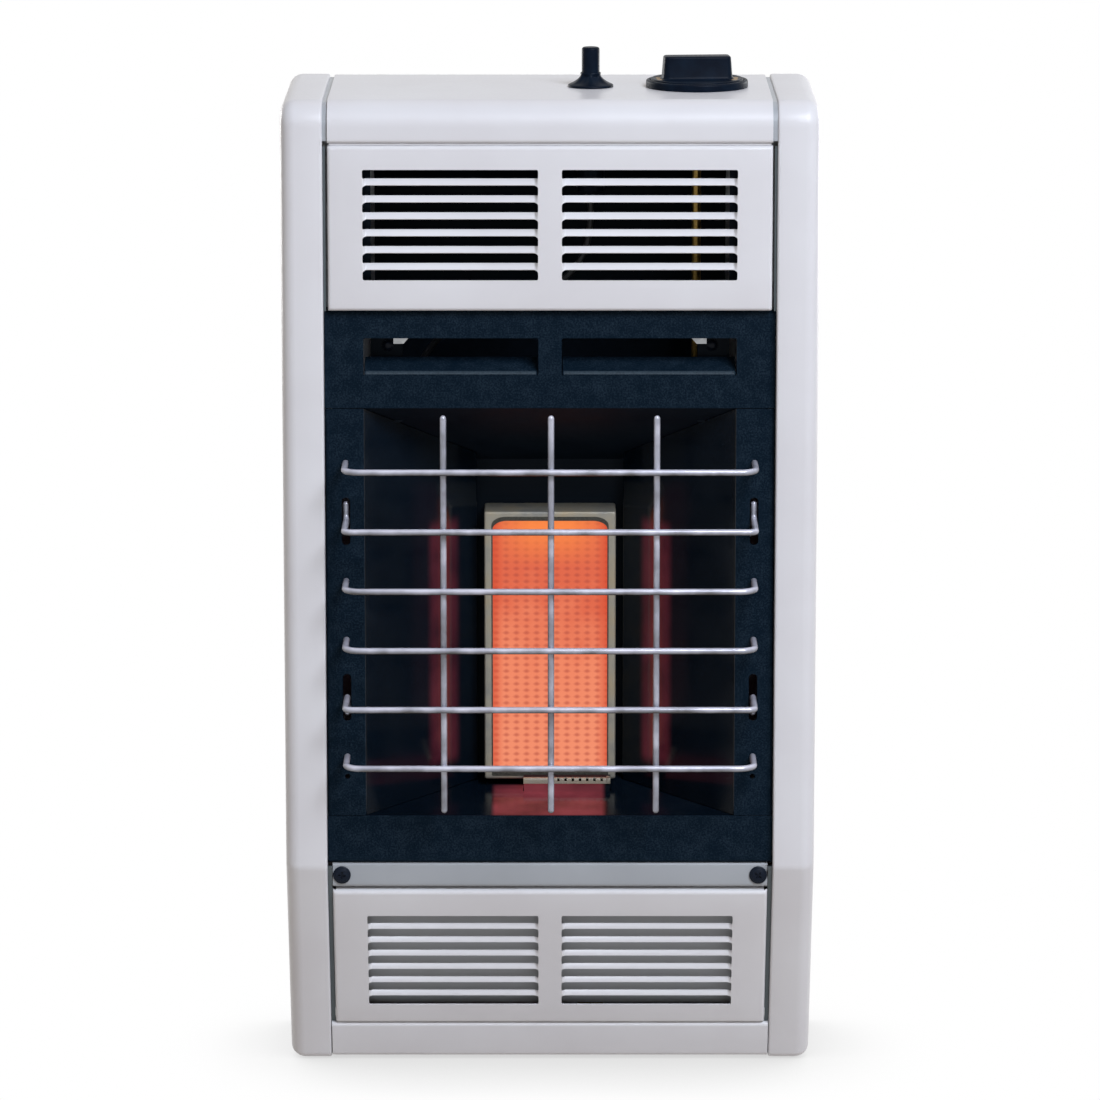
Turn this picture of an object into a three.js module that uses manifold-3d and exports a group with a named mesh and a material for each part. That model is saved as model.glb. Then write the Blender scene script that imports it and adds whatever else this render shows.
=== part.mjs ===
// A wall mounted infrared gas heater: one ceramic plaque burner in a black
// reflector, behind a wire guard, in a pressed steel casing with louvred panels.
// Millimetres, +Z up, the wall is the plane Y = 0 and the front faces -Y.
// Heights are written from the casing's bottom edge. The outer group lowers
// everything, so that the origin lies on the wall face of the hanging bracket.
import * as THREE from 'three';
import Module from 'manifold-3d';
import { mergeVertices } from 'three/addons/utils/BufferGeometryUtils.js';

// ---- driving dimensions ----

const seat = 0.3;                  // gap between pieces that rest on each other

const casing = {
  width: 333, height: 625, depth: 150,
  sheet: 1.2,
  topRadius: 16,                   // front edge of the top
  edgeRadius: 9,                   // outer edges of the side panels
  bendRadius: 12, footRadius: 6,
  strip: 26.2,                     // front strip of a side panel
  seam: 3,                         // gap beside the top and louvre panels
  rim: 8,                          // return along a side panel's inner edge
  bandDrop: 25.7,                  // top panel's front band, below the top
  bendHeight: 140, chinAngle: 22,  // below this height the front slopes back
};

const surround = {
  aboveBend: 2.3, belowTop: 130.4, // its ends, from the bend and the casing's top
  sill: 30.3, header: 61.6,        // black sheet below and above the opening
  column: 24.1,                    // black sheet beside the opening
  recess: 6,                       // behind the casing's front face
  flange: 14, edge: 12,            // returns at its top and along its other edges
  slotDrop: 17.6, slotTall: 22.6, flapRise: 19.4,
  holeRise: 25.4, holeRadius: 1.6, // small hole in each column
};

const louvre = {
  inner: 7.3, margin: 21.5,        // from the middle, and from the panel's edge
  slots: 7, slit: 4.4, sheet: 1, flange: 7,
  tilt: 40, twist: 7, push: 4, lift: 1,    // a blade's turn, its ends, and its middle's way
  upperDrop: 44.9, upperPitch: 10.52,      // first slot, below the casing's top
  lowerDrop: 21.3, lowerPitch: 10.62,      // first slot, below the panel's top
  upperGap: 0.4, bandGap: 1.6,     // to the surround and to the top panel's band
  chinDrop: 18.6, chinFoot: 28,    // lower panel's ends, along the slope
};

const guard = {
  wire: 4, proud: 30, bars: 6, hookBars: [1, 4], pitch: 37.5, lift: 2.2,
  uprights: [-66, 0.6, 66], uprightTall: 252, uprightLift: 5.2,
  inset: 12.6,                     // bar ends, from the columns' outer edges
  bend: 10, hookBend: 4.5, slotHeight: 30, hookRise: 12, play: 0.6,
};

const burner = {
  half: 41.8, tall: 174.3, aboveSill: 8.5, stand: 30,
  lip: 5.4, lipBottom: 4.8, lipTop: 6.2,   // frame's edges round the glowing face
  plaque: 13, gasket: 3, rest: 5,  // rest: width of the ledge that carries them
  box: 35, sheet: 1.2, play: 1, flange: 8,
  grooves: 11, groove: 0.9,
  venturiY: -35.5, venturiThroat: 7.5, venturiFlange: 12.5, venturiTall: 53.1,
};

const reflector = {
  sheet: 1, back: 50, corner: 64,  // planes of its back and of its sides' inner corners
  besideFrame: 4.8, aboveFrame: 28.6, belowFrame: 3.1,
  flange: 8, frontFlange: 14,
  earFrom: 92, earTo: 112, earBack: 22, earRise: 3,
};

const pilot = {
  y: -86.5, reach: 5.5, left: -17, right: 38.5, xs: [30, 12, -6],
  topRise: 12, plateDrop: 12.6, footDrop: 18,
  burner: 3.3, thermocouple: 2.4, electrode: 3,
};

const rail = { tall: 15.8, depth: 16, recess: 1 };
const screw = { fromEnd: 5.9, drop: 8, head: 5.6, shank: 2.2, tall: 2.4, length: 8 };

const valve = {
  fromSide: 74.3, y: -70, width: 56, depth: 44, bottom: 62, top: 100, boss: 106,
  bossRadius: 13, stem: 3.5, bracketSheet: 1.5, bracketHalf: 20, bracketTall: 30,
};

const inlet = { fromValve: 66.2, y: -62, radius: 8.5, bore: 6, hex: 12, regulator: 44 };

const spud = {
  plate: 106.3, sheet: 1.5, thread: 5, below: 10, hex: 7.4, tip: 18,
  bracketHalf: 16, bracketTall: 28, bracketReach: 14,
};

const knob = {
  skirt: 29.2, bezel: 32, bezelHeight: 4.5, gap: 0.5, travel: 3, rise: 0.8,
  barLength: 42, barWidth: 14, barTop: 19.6, turned: 5,
  rod: 3, rodRise: 12, coupling: 6.5, couplingTall: 24, shank: 25, socket: 16,
  spring: 8, springWire: 1.2, springTurns: 6, springLength: 13.6,
  collar: 11, collarSheet: 1.5,
};

const igniter = {
  fromKnob: 66.7, y: -70, button: 5.6, buttonTop: 25, buttonFoot: 21, travel: 8,
  collar: 14.3, collarHeight: 7, play: 0.4,
  body: 9, bodyLength: 65, nut: 13, nutTall: 7, pin: 2.6, pinLength: 5,
};

const bracket = {
  belowTop: 65, half: 90, tall: 40, sheet: 1.5,
  tongue: 60, tongueHalf: 15, tongueDrop: 4, tongueTall: 12,
  hole: 80, holeRise: 8, holeRadius: 3.2,
};

const backPlate = { gap: 8.8, flange: 15, bottom: 10, drop: 13, play: 2, slotTall: 10 };
const shield = { y: -20, below: 4.6, drop: 27, lean: 30, narrower: 3.8, sheet: 1 };
const over = 1;                    // how far a cut reaches past a face

// ---- places worked out from the dimensions above ----

const front = -casing.depth;
const half = casing.width / 2;
const stripInner = half - casing.strip;
const panelHalf = stripInner - casing.seam;
const blackHalf = stripInner - 0.4;
const blackFace = front + surround.recess;
const blackBack = blackFace + casing.sheet;
const flangeFace = blackBack + seat;
const chinSlope = THREE.MathUtils.degToRad(casing.chinAngle);
const chinLength = casing.bendHeight / Math.cos(chinSlope);
const slopeY = (z) => front + (casing.bendHeight - z) * Math.tan(chinSlope);
const webFront = -backPlate.gap - casing.sheet;
const topZ = casing.height;
const underTop = topZ - casing.sheet;

const surroundBottom = casing.bendHeight + surround.aboveBend;
const surroundTop = topZ - surround.belowTop;
const openingBottom = surroundBottom + surround.sill;
const openingTop = surroundTop - surround.header;
const openingHalf = blackHalf - surround.column;
const openingMiddle = (openingBottom + openingTop) / 2;
const slotTop = surroundTop - surround.slotDrop;
const slotBottom = slotTop - surround.slotTall;

const frameBottom = openingBottom + burner.aboveSill;
const frameTop = frameBottom + burner.tall;
const backHalf = burner.half + reflector.besideFrame;
const backTop = frameTop + reflector.aboveFrame;
const backBottom = frameBottom - reflector.belowFrame;

const bracketZ = topZ - bracket.belowTop;
const valveX = half - valve.fromSide;
const valveLeft = valveX - valve.width / 2 - seat;
const inletX = valveX - inlet.fromValve;
const igniterX = valveX - igniter.fromKnob;

// ---- colours ----

const paint = (color, roughness, metalness = 0) =>
  new THREE.MeshStandardMaterial({ color, roughness, metalness });

const looks = {
  casing: paint('#d4d3dc', 0.45),
  black: paint('#161c22', 0.7),
  cavity: paint('#14171b', 0.35),
  steel: paint('#8d9096', 0.4, 0.9),
  wire: paint('#c9ccd2', 0.2, 1),
  plaque: paint('#ee8a5c', 0.9),
  bezel: paint('#7c7b78', 0.5, 0.6),
  fibre: paint('#e4ddcf', 1),
  brass: paint('#b08d4a', 0.35, 0.9),
  aluminium: paint('#b4b7bb', 0.4, 0.9),
  plastic: paint('#15161a', 0.5),
  ceramic: paint('#ece8de', 0.3),
};

// ---- solids from three.js geometry ----

const wasm = await Module();
wasm.setup();

function solid(geometry) {
  const bare = geometry.clone();
  bare.deleteAttribute('normal');
  bare.deleteAttribute('uv');
  const merged = mergeVertices(bare, 1e-4);
  return new wasm.Manifold(new wasm.Mesh({
    numProp: 3,
    vertProperties: new Float32Array(merged.attributes.position.array),
    triVerts: new Uint32Array(merged.index.array),
  }));
}

function toGeometry(body) {
  const mesh = body.getMesh();
  const geometry = new THREE.BufferGeometry();
  geometry.setAttribute('position', new THREE.BufferAttribute(mesh.vertProperties, 3));
  geometry.setIndex(new THREE.BufferAttribute(mesh.triVerts, 1));
  geometry.computeVertexNormals();
  return geometry;
}

const joined = (first, ...rest) => rest.reduce((body, other) => body.add(other), first);
const without = (first, ...rest) => rest.reduce((body, other) => body.subtract(other), first);

function boxGeometry(x0, x1, y0, y1, z0, z1) {
  const geometry = new THREE.BoxGeometry(x1 - x0, y1 - y0, z1 - z0);
  return geometry.translate((x0 + x1) / 2, (y0 + y1) / 2, (z0 + z1) / 2);
}

const box = (...limits) => solid(boxGeometry(...limits));

const outlineShape = (points) =>
  new THREE.Shape(points.map(([a, b]) => new THREE.Vector2(a, b)));

// how an extrusion's own x, y and z lie in the heater
const turns = {
  alongX: new THREE.Matrix4().makeBasis(
    new THREE.Vector3(0, 1, 0), new THREE.Vector3(0, 0, 1), new THREE.Vector3(1, 0, 0)),
  alongY: new THREE.Matrix4().makeBasis(
    new THREE.Vector3(-1, 0, 0), new THREE.Vector3(0, 0, 1), new THREE.Vector3(0, 1, 0)),
  alongZ: new THREE.Matrix4(),
};

function prism(direction, points, from, to) {
  const geometry = new THREE.ExtrudeGeometry(
    outlineShape(points), { depth: to - from, bevelEnabled: false });
  return solid(geometry.translate(0, 0, from).applyMatrix4(turns[direction]));
}

function circle(radius, sides = 24, x = 0, y = 0) {
  return Array.from({ length: sides }, (_, i) => {
    const angle = (2 * Math.PI * (i + 0.5)) / sides;
    return [x + radius * Math.cos(angle), y + radius * Math.sin(angle)];
  });
}

// a post or a bore along Z
const post = (x, y, radius, z0, z1, sides = 24) =>
  prism('alongZ', circle(radius, sides, x, y), z0, z1);

// a round bar or a bore along Y; the outline's first axis is turned, so x is negated
const barY = (x, z, radius, y0, y1, sides = 20) =>
  prism('alongY', circle(radius, sides, -x, z), y0, y1);

const barX = (y, z, radius, x0, x1, sides = 20) =>
  prism('alongX', circle(radius, sides, y, z), x0, x1);

// a turned piece: the profile holds [radius, height] pairs and closes on itself
function turnedPiece(profile, x, y, sides = 28) {
  const points = [...profile, profile[0]].map(([r, z]) => new THREE.Vector2(r, z));
  const geometry = new THREE.LatheGeometry(points, sides);
  return geometry.rotateX(Math.PI / 2).translate(x, y, 0);
}

// corners of a polygon moved inwards by a distance; it runs anticlockwise
function inset(corners, distance) {
  const count = corners.length;
  return corners.map((corner, i) => {
    const before = corners[(i + count - 1) % count];
    const after = corners[(i + 1) % count];
    const a = new THREE.Vector2(corner[0] - before[0], corner[1] - before[1]).normalize();
    const b = new THREE.Vector2(after[0] - corner[0], after[1] - corner[1]).normalize();
    const move = distance / (1 + a.dot(b));
    const x = corner[0] - move * (a.y + b.y);
    const y = corner[1] + move * (a.x + b.x);
    const radius = corner[2] ?? 0;
    return [x, y, radius > 0 ? Math.max(radius - distance, 0.5) : 0];
  });
}

// outlines with equal point counts, stacked along X and closed at both ends
function stacked(rings) {
  const count = rings[0].points.length;
  const positions = rings.flatMap(({ x, points }) => points.flatMap(([y, z]) => [x, y, z]));
  const index = [];
  for (let ring = 0; ring < rings.length - 1; ring += 1) {
    for (let i = 0; i < count; i += 1) {
      const a = ring * count + i;
      const b = ring * count + ((i + 1) % count);
      index.push(a, b, a + count, b, b + count, a + count);
    }
  }
  const lid = (points) => THREE.ShapeUtils.triangulateShape(
    points.map(([y, z]) => new THREE.Vector2(y, z)), []);
  const last = (rings.length - 1) * count;
  lid(rings[0].points).forEach(([a, b, c]) => index.push(a, c, b));
  lid(rings[rings.length - 1].points).forEach(([a, b, c]) =>
    index.push(last + a, last + b, last + c));
  const geometry = new THREE.BufferGeometry();
  geometry.setAttribute('position', new THREE.Float32BufferAttribute(positions, 3));
  geometry.setIndex(index);
  return geometry;
}

// points and normals of a line with round bends; the normal is to the left
function bentLine(points, radius, steps, closed = false) {
  const at = (i) => new THREE.Vector2(...points[(i + points.length) % points.length]);
  const result = [];
  const left = (v) => new THREE.Vector2(-v.y, v.x);
  points.forEach((point, i) => {
    const here = at(i);
    const ends = !closed && (i === 0 || i === points.length - 1);
    if (ends) {
      const next = i === 0 ? at(1).sub(here) : here.clone().sub(at(i - 1));
      result.push({ place: here, normal: left(next.normalize()) });
      return;
    }
    const into = here.clone().sub(at(i - 1)).normalize();
    const away = at(i + 1).sub(here).normalize();
    const turn = Math.atan2(into.cross(away), into.dot(away));
    const bend = point[2] ?? radius;
    if (bend < 0.01) {
      const scale = 1 / Math.cos(turn / 2);
      const middle = left(into).add(left(away)).normalize().multiplyScalar(scale);
      result.push({ place: here, normal: middle });
      return;
    }
    const reach = bend * Math.tan(Math.abs(turn) / 2);
    const start = here.clone().addScaledVector(into, -reach);
    const side = Math.sign(turn);
    const centre = start.clone().addScaledVector(left(into), side * bend);
    for (let k = 0; k <= steps; k += 1) {
      const normal = left(into).rotateAround(new THREE.Vector2(), (turn * k) / steps);
      const place = centre.clone().addScaledVector(normal, -side * bend);
      result.push({ place, normal });
    }
  });
  return result;
}

const outline = (corners, steps = 4) =>
  bentLine(corners, 0, steps, true).map(({ place }) => [place.x, place.y]);

// section of a bent sheet whose outer face is the line; the metal lies to its left
function sheetSection(points, thickness, radius = thickness + 1, steps = 3) {
  const line = bentLine(points, radius, steps);
  const outer = line.map(({ place }) => [place.x, place.y]);
  const inner = line.map(({ place, normal }) =>
    [place.x + normal.x * thickness, place.y + normal.y * thickness]);
  return [...outer, ...inner.reverse()];
}

// a round tube or wire along a curve, with flat ends
function tube(curve, radius, steps, sides = 8) {
  const ring = outlineShape(circle(radius, sides));
  return new THREE.ExtrudeGeometry(ring, { steps, bevelEnabled: false, extrudePath: curve });
}

const smooth = (points) =>
  new THREE.CatmullRomCurve3(points.map((p) => new THREE.Vector3(...p)), false, 'centripetal');

// a path whose stations are given, so that straight runs take no steps
class Stations extends THREE.Curve {
  constructor(places, tangents) {
    super();
    this.places = places;
    this.tangents = tangents;
  }

  getPointAt(u) {
    return this.places[Math.round(u * (this.places.length - 1))].clone();
  }

  getTangentAt(u) {
    return this.tangents[Math.round(u * (this.places.length - 1))].clone();
  }
}

// a wire of straight runs with round bends in space
function bentWire(points, bend, radius, sides = 8) {
  const corners = points.map((p) => new THREE.Vector3(...p));
  const places = [corners[0]];
  const tangents = [corners[1].clone().sub(corners[0]).normalize()];
  const bendSteps = 4;
  for (let i = 1; i < corners.length - 1; i += 1) {
    const into = corners[i].clone().sub(corners[i - 1]).normalize();
    const away = corners[i + 1].clone().sub(corners[i]).normalize();
    const turn = into.angleTo(away);
    const axis = into.clone().cross(away).normalize();
    const inward = axis.clone().cross(into);
    const start = corners[i].clone().addScaledVector(into, -bend * Math.tan(turn / 2));
    const centre = start.clone().addScaledVector(inward, bend);
    for (let k = 0; k <= bendSteps; k += 1) {
      const angle = (turn * k) / bendSteps;
      places.push(inward.clone().applyAxisAngle(axis, angle).multiplyScalar(-bend).add(centre));
      tangents.push(into.clone().applyAxisAngle(axis, angle));
    }
  }
  places.push(corners[corners.length - 1]);
  tangents.push(tangents[tangents.length - 1]);
  return tube(new Stations(places, tangents), radius, places.length - 1, sides);
}

function mirrored(geometry) {
  const other = geometry.clone().applyMatrix4(new THREE.Matrix4().makeScale(-1, 1, 1));
  const index = other.index.array;
  for (let i = 0; i < index.length; i += 3) {
    [index[i], index[i + 1]] = [index[i + 1], index[i]];
  }
  other.computeVertexNormals();
  return other;
}

// ---- the assembly ----

const heater = new THREE.Group();
heater.position.set(0, 0, -bracketZ);
const part = new THREE.Group();
part.add(heater);

function add(name, shape, material, parent = heater) {
  const geometry = shape.isBufferGeometry ? shape : toGeometry(shape);
  const mesh = new THREE.Mesh(geometry, material);
  mesh.name = name;
  parent.add(mesh);
  return mesh;
}

// ---- casing ----

const sideCorners = (overhang) => [
  [overhang, 0, 0],
  [overhang, casing.height, 0],
  [front, casing.height, casing.topRadius],
  [front, casing.bendHeight, casing.bendRadius],
  [slopeY(0), 0, casing.footRadius],
];

// the casing's end with its outer edges rounded, inset by a wall
function roundedEnd(wall) {
  const radius = casing.edgeRadius;
  const steps = 4;
  const rings = [];
  for (let k = 0; k <= steps; k += 1) {
    const angle = (Math.PI / 2) * (k / steps);
    const points = outline(inset(sideCorners(30), radius - (radius - wall) * Math.sin(angle)));
    rings.unshift({ x: half - radius + (radius - wall) * Math.cos(angle), points });
  }
  rings.unshift({ x: 0, points: rings[0].points });
  return solid(stacked(rings));
}

function sideBand(inner, outer, x0, x1) {
  const ring = (distance) =>
    prism('alongX', outline(inset(sideCorners(30), distance)), x0, x1);
  return without(ring(inner), ring(outer));
}

function sidePanel() {
  const { sheet, rim, height, bandDrop } = casing;
  const keep = box(stripInner, half + 1, front - 1, 0, -1, height + 1);
  const shell = without(roundedEnd(0), roundedEnd(sheet)).intersect(keep);
  const rimRing = sideBand(sheet / 2, rim, stripInner, stripInner + sheet).intersect(keep);
  const edge = without(rimRing, box(0, half, slopeY(0) + rim - 2, 1, -1, rim + 1));
  const lap = panelHalf - 5;
  const ledgeRoom = box(lap, half, front - 1, -4, height - bandDrop + 4, height);
  const depth = sheet + seat;
  const ledge = sideBand(depth, depth + sheet, lap, stripInner + sheet).intersect(ledgeRoom);
  return toGeometry(joined(shell, edge, ledge));
}

const rightSide = sidePanel();
add('right_side_panel', rightSide, looks.casing);
add('left_side_panel', mirrored(rightSide), looks.casing);

function topPanel() {
  const { sheet, height, bandDrop, topRadius } = casing;
  const section = sheetSection([
    [-1.5, height - 14],
    [-1.5, height, 3],
    [front, height, topRadius],
    [front, height - bandDrop, 2.4],
    [front + 8, height - bandDrop],
  ], sheet, 3, 4);
  return without(
    prism('alongX', section, -panelHalf, panelHalf),
    post(valveX, valve.y, knob.rod + 1, height - 3, height + over),
    post(igniterX, igniter.y, igniter.body + seat, height - 3, height + over, 28),
  );
}

add('top_panel', topPanel(), looks.casing);

// one lanced blade: a strip that is turned about its own middle line, pushed
// inwards and lifted, and runs back into the sheet at both ends; from and to
// are along X
function blade(from, to, middle, tall) {
  const { tilt, twist, push, lift, sheet } = louvre;
  const stops = [0, 0.4, 1];
  const stations = [
    ...stops.map((s) => [from + twist * s, s]),
    ...stops.map((s) => [to - twist * s, s]).reverse(),
  ];
  const positions = [];
  stations.forEach(([x, s]) => {
    const ease = THREE.MathUtils.smoothstep(s, 0, 1);
    const angle = THREE.MathUtils.degToRad(tilt) * ease;
    const along = [Math.sin(angle), Math.cos(angle)];
    const across = [Math.cos(angle), -Math.sin(angle)];
    [[-1, -1], [1, -1], [1, 1], [-1, 1]].forEach(([a, b]) => {
      const y = (a * along[0] * tall + b * across[0] * sheet * 0.9) / 2;
      const z = (a * along[1] * tall + b * across[1] * sheet * 0.9) / 2;
      positions.push(x, y + push * ease, middle + z + lift * ease);
    });
  });
  const index = [];
  for (let i = 0; i < stations.length - 1; i += 1) {
    for (let k = 0; k < 4; k += 1) {
      const a = 4 * i + k;
      const b = 4 * i + ((k + 1) % 4);
      index.push(a, a + 4, b, b, a + 4, b + 4);
    }
  }
  const last = 4 * (stations.length - 1);
  index.push(0, 1, 2, 0, 2, 3, last, last + 2, last + 1, last, last + 3, last + 2);
  const geometry = new THREE.BufferGeometry();
  geometry.setAttribute('position', new THREE.Float32BufferAttribute(positions, 3));
  geometry.setIndex(index);
  return geometry;
}

// a flanged panel whose face is the plane Y = 0; first is its top slot's height
function louvredPanel(bottom, top, first, pitch) {
  const { slots, slit, sheet, inner, margin, flange } = louvre;
  const outer = panelHalf - margin;
  const section = sheetSection([
    [flange, top], [0, top, 2.5], [0, bottom, 2.5], [flange, bottom],
  ], sheet, 2.5, 3);
  let panel = prism('alongX', section, -panelHalf, panelHalf);
  const last = first - (slots - 1) * pitch;
  for (const side of [-1, 1]) {
    const [from, to] = side < 0 ? [-outer, -inner] : [inner, outer];
    const edge = side * (panelHalf - sheet);
    const [e0, e1] = [edge, side * panelHalf].sort((a, b) => a - b);
    panel = panel.add(box(e0, e1, 0.4, flange, bottom + 3, top - 3));
    panel = panel.subtract(
      box(from, to, -over, sheet + over, last - slit / 2, first + slit / 2));
    for (let i = 0; i < slots - 1; i += 1) {
      const middle = first - (i + 0.5) * pitch;
      const strip = blade(from - 0.6, to + 0.6, middle, pitch - slit);
      panel = panel.add(solid(strip.translate(0, sheet / 2, 0)));
    }
  }
  return panel;
}

const upperFace = new THREE.Group();
upperFace.position.set(0, front, 0);
heater.add(upperFace);
add('upper_louvre_panel', louvredPanel(
  surroundTop + louvre.upperGap, topZ - casing.bandDrop - louvre.bandGap,
  topZ - louvre.upperDrop, louvre.upperPitch,
), looks.casing, upperFace);

const chin = new THREE.Group();
chin.position.set(0, front, casing.bendHeight);
chin.rotation.x = chinSlope;
heater.add(chin);
add('lower_louvre_panel', louvredPanel(
  louvre.chinFoot - chinLength, -louvre.chinDrop,
  -louvre.chinDrop - louvre.lowerDrop, louvre.lowerPitch,
), looks.casing, chin);

const railFace = blackFace + rail.recess;
const railTop = surroundBottom - seat;
const railBottom = railTop - rail.tall;
const screwX = panelHalf - screw.fromEnd;
const screwZ = railTop - screw.drop;

function lowerRail() {
  const back = railFace + rail.depth;
  const section = sheetSection([
    [back, railTop], [railFace, railTop], [railFace, railBottom], [back, railBottom],
  ], casing.sheet);
  const holes = [-1, 1].map((side) =>
    barY(side * screwX, screwZ, screw.shank + seat, railFace - over, railFace + 2, 16));
  return without(prism('alongX', section, -panelHalf, panelHalf), ...holes);
}

add('lower_rail', lowerRail(), looks.casing);

for (const [side, word] of [[-1, 'left'], [1, 'right']]) {
  const head = turnedPiece([
    [0, 0], [screw.shank, 0], [screw.shank, screw.length],
    [screw.head, screw.length], [screw.head, screw.length + 1.2],
    [screw.head * 0.7, screw.length + screw.tall], [0, screw.length + screw.tall],
  ], 0, 0, 14);
  head.rotateX(Math.PI / 2).translate(side * screwX, railFace - seat + screw.length, screwZ);
  add(`rail_screw_${word}`, solid(head), looks.plastic);
}

function basePan() {
  const { sheet } = casing;
  const stripTop = (louvre.chinFoot - 0.5) * Math.cos(chinSlope);
  const inward = [louvre.flange * Math.cos(chinSlope), louvre.flange * Math.sin(chinSlope)];
  const lift = sheet + seat;
  const rear = webFront - seat;
  const section = sheetSection([
    [slopeY(stripTop) + inward[0], stripTop + inward[1]],
    [slopeY(stripTop), stripTop, 2.4],
    [slopeY(lift), lift, 4],
    [rear, lift, 2.4],
    [rear, 14],
  ], sheet, 2.4, 3);
  const floorHalf = half - casing.edgeRadius;
  const floor = box(-floorHalf, floorHalf, slopeY(0) + 9, rear - 2, lift, lift + sheet);
  const hole = post(inletX, inlet.y, inlet.radius + 0.7, 0, 6, 28);
  return without(joined(prism('alongX', section, -blackHalf, blackHalf), floor), hole);
}

add('base_pan', basePan(), looks.casing);

function backPanel() {
  const side = half - casing.sheet - seat;
  const rear = -backPlate.gap;
  const { flange, bottom, drop, play, slotTall } = backPlate;
  const section = sheetSection([
    [side, rear - flange], [side, rear], [-side, rear], [-side, rear - flange],
  ], casing.sheet);
  const shelfTop = bracketZ - bracket.tongueDrop + bracket.sheet;
  const slots = [-1, 1].map((s) => {
    const middle = s * bracket.tongue;
    const reach = bracket.tongueHalf + play;
    return box(middle - reach, middle + reach, rear - 3, rear + over,
      shelfTop - slotTall, shelfTop + seat);
  });
  const screwHoles = [-1, 1].map((s) =>
    barY(s * (side - 45), bottom + 30, bracket.holeRadius, rear - 3, rear + over, 16));
  return without(prism('alongZ', section, bottom, topZ - drop), ...slots, ...screwHoles);
}

add('back_panel', backPanel(), looks.steel);

function wallBracket() {
  const { sheet, tongue, tongueHalf, tongueDrop, tongueTall, tall } = bracket;
  const shelf = bracketZ - tongueDrop;
  const lip = webFront - 2 * sheet;
  let body = box(-bracket.half, bracket.half, -sheet, 0, bracketZ - tall / 2,
    bracketZ + tall / 2);
  for (const s of [-1, 1]) {
    const x0 = s * tongue - tongueHalf;
    const x1 = s * tongue + tongueHalf;
    body = body.add(box(x0, x1, lip, -sheet / 2, shelf, shelf + sheet));
    body = body.add(box(x0, x1, lip, lip + sheet, shelf, shelf + tongueTall));
    body = body.subtract(barY(s * bracket.hole, bracketZ + bracket.holeRise,
      bracket.holeRadius, -sheet - over, over, 16));
  }
  return body;
}

add('wall_bracket', wallBracket(), looks.steel);

function heatShield() {
  const { y, below, drop, lean, narrower, sheet } = shield;
  const foot = openingBottom - below;
  const wide = openingHalf - narrower;
  const section = sheetSection([
    [webFront - seat, foot], [y, foot], [y, bracketZ], [y - lean, topZ - drop],
  ], sheet, 4);
  return prism('alongX', section, -wide, wide);
}

add('heat_shield', heatShield(), looks.steel);

// ---- black surround ----

function surroundHeader() {
  const { sheet } = casing;
  const section = sheetSection([
    [blackFace, openingTop], [blackFace, surroundTop],
    [blackFace + surround.flange, surroundTop],
  ].reverse(), sheet);
  let body = prism('alongX', section, -blackHalf, blackHalf);
  const rise = THREE.MathUtils.degToRad(surround.flapRise);
  const reach = slotTop - slotBottom - 2;
  const lip = slotBottom + sheet;
  const flap = sheetSection([
    [blackFace + reach * Math.cos(rise), lip + reach * Math.sin(rise)],
    [blackFace, lip, 2.4],
    [blackFace, slotBottom - 3],
  ], sheet, 2.4, 4);
  for (const s of [-1, 1]) {
    const [x0, x1] = s < 0 ? [-openingHalf, -louvre.inner] : [louvre.inner, openingHalf];
    body = body.subtract(
      box(x0, x1, blackFace - over, blackBack + over, slotBottom - 1, slotTop));
    body = body.add(prism('alongX', flap, x0 + 0.6, x1 - 0.6));
  }
  return body;
}

add('surround_header', surroundHeader(), looks.black);

const barHeights = Array.from({ length: guard.bars }, (_, i) =>
  openingMiddle + guard.lift + ((guard.bars - 1) / 2 - i) * guard.pitch);
const endHalf = blackHalf - guard.inset;

function surroundColumn(side) {
  const section = sheetSection([
    [openingHalf, blackFace], [blackHalf, blackFace],
    [blackHalf, blackFace + surround.edge],
  ], casing.sheet);
  const slotHalf = guard.wire / 2 + guard.play;
  const cuts = guard.hookBars.map((i) => {
    const z = barHeights[i];
    const tall = guard.slotHeight / 2;
    return box(endHalf - slotHalf, endHalf + slotHalf, blackFace - over,
      blackBack + over, z - tall, z + tall);
  });
  cuts.push(barY(endHalf, openingBottom + surround.holeRise, surround.holeRadius,
    blackFace - over, blackBack + over, 12));
  const column = without(
    prism('alongZ', section, openingBottom + seat, openingTop - 0.4), ...cuts);
  const geometry = toGeometry(column);
  return side > 0 ? geometry : mirrored(geometry);
}

add('surround_right', surroundColumn(1), looks.black);
add('surround_left', surroundColumn(-1), looks.black);

function surroundSill() {
  const section = sheetSection([
    [blackFace, openingBottom], [blackFace, surroundBottom],
    [blackFace + surround.edge, surroundBottom],
  ], casing.sheet);
  return prism('alongX', section, -blackHalf, blackHalf);
}

add('surround_sill', surroundSill(), looks.black);

// ---- wire guard ----

const guardY = front - guard.proud;

barHeights.forEach((z, i) => {
  const { bend, hookBend, wire, hookRise, hookBars } = guard;
  const hooked = hookBars.includes(i);
  const rise = i === hookBars[0] ? hookRise : -hookRise;
  const hookY = blackBack + wire / 2 + 0.8;
  const end = (side) => (hooked
    ? [[side * endHalf, guardY, z], [side * endHalf, hookY, z], [side * endHalf, hookY, z + rise]]
    : [[side * endHalf, guardY, z], [side * endHalf, blackFace - seat, z]]);
  const points = [...end(-1).reverse(), ...end(1)];
  add(`guard_bar_${i + 1}`,
    solid(bentWire(points, hooked ? hookBend : bend, wire / 2)), looks.wire);
});

guard.uprights.forEach((x, i) => {
  const middle = openingMiddle + guard.uprightLift;
  const reach = guard.uprightTall / 2;
  const y = guardY + guard.wire + seat;
  add(`guard_upright_${i + 1}`,
    post(x, y, guard.wire / 2, middle - reach, middle + reach, 10), looks.wire);
});

// ---- reflector ----

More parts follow.
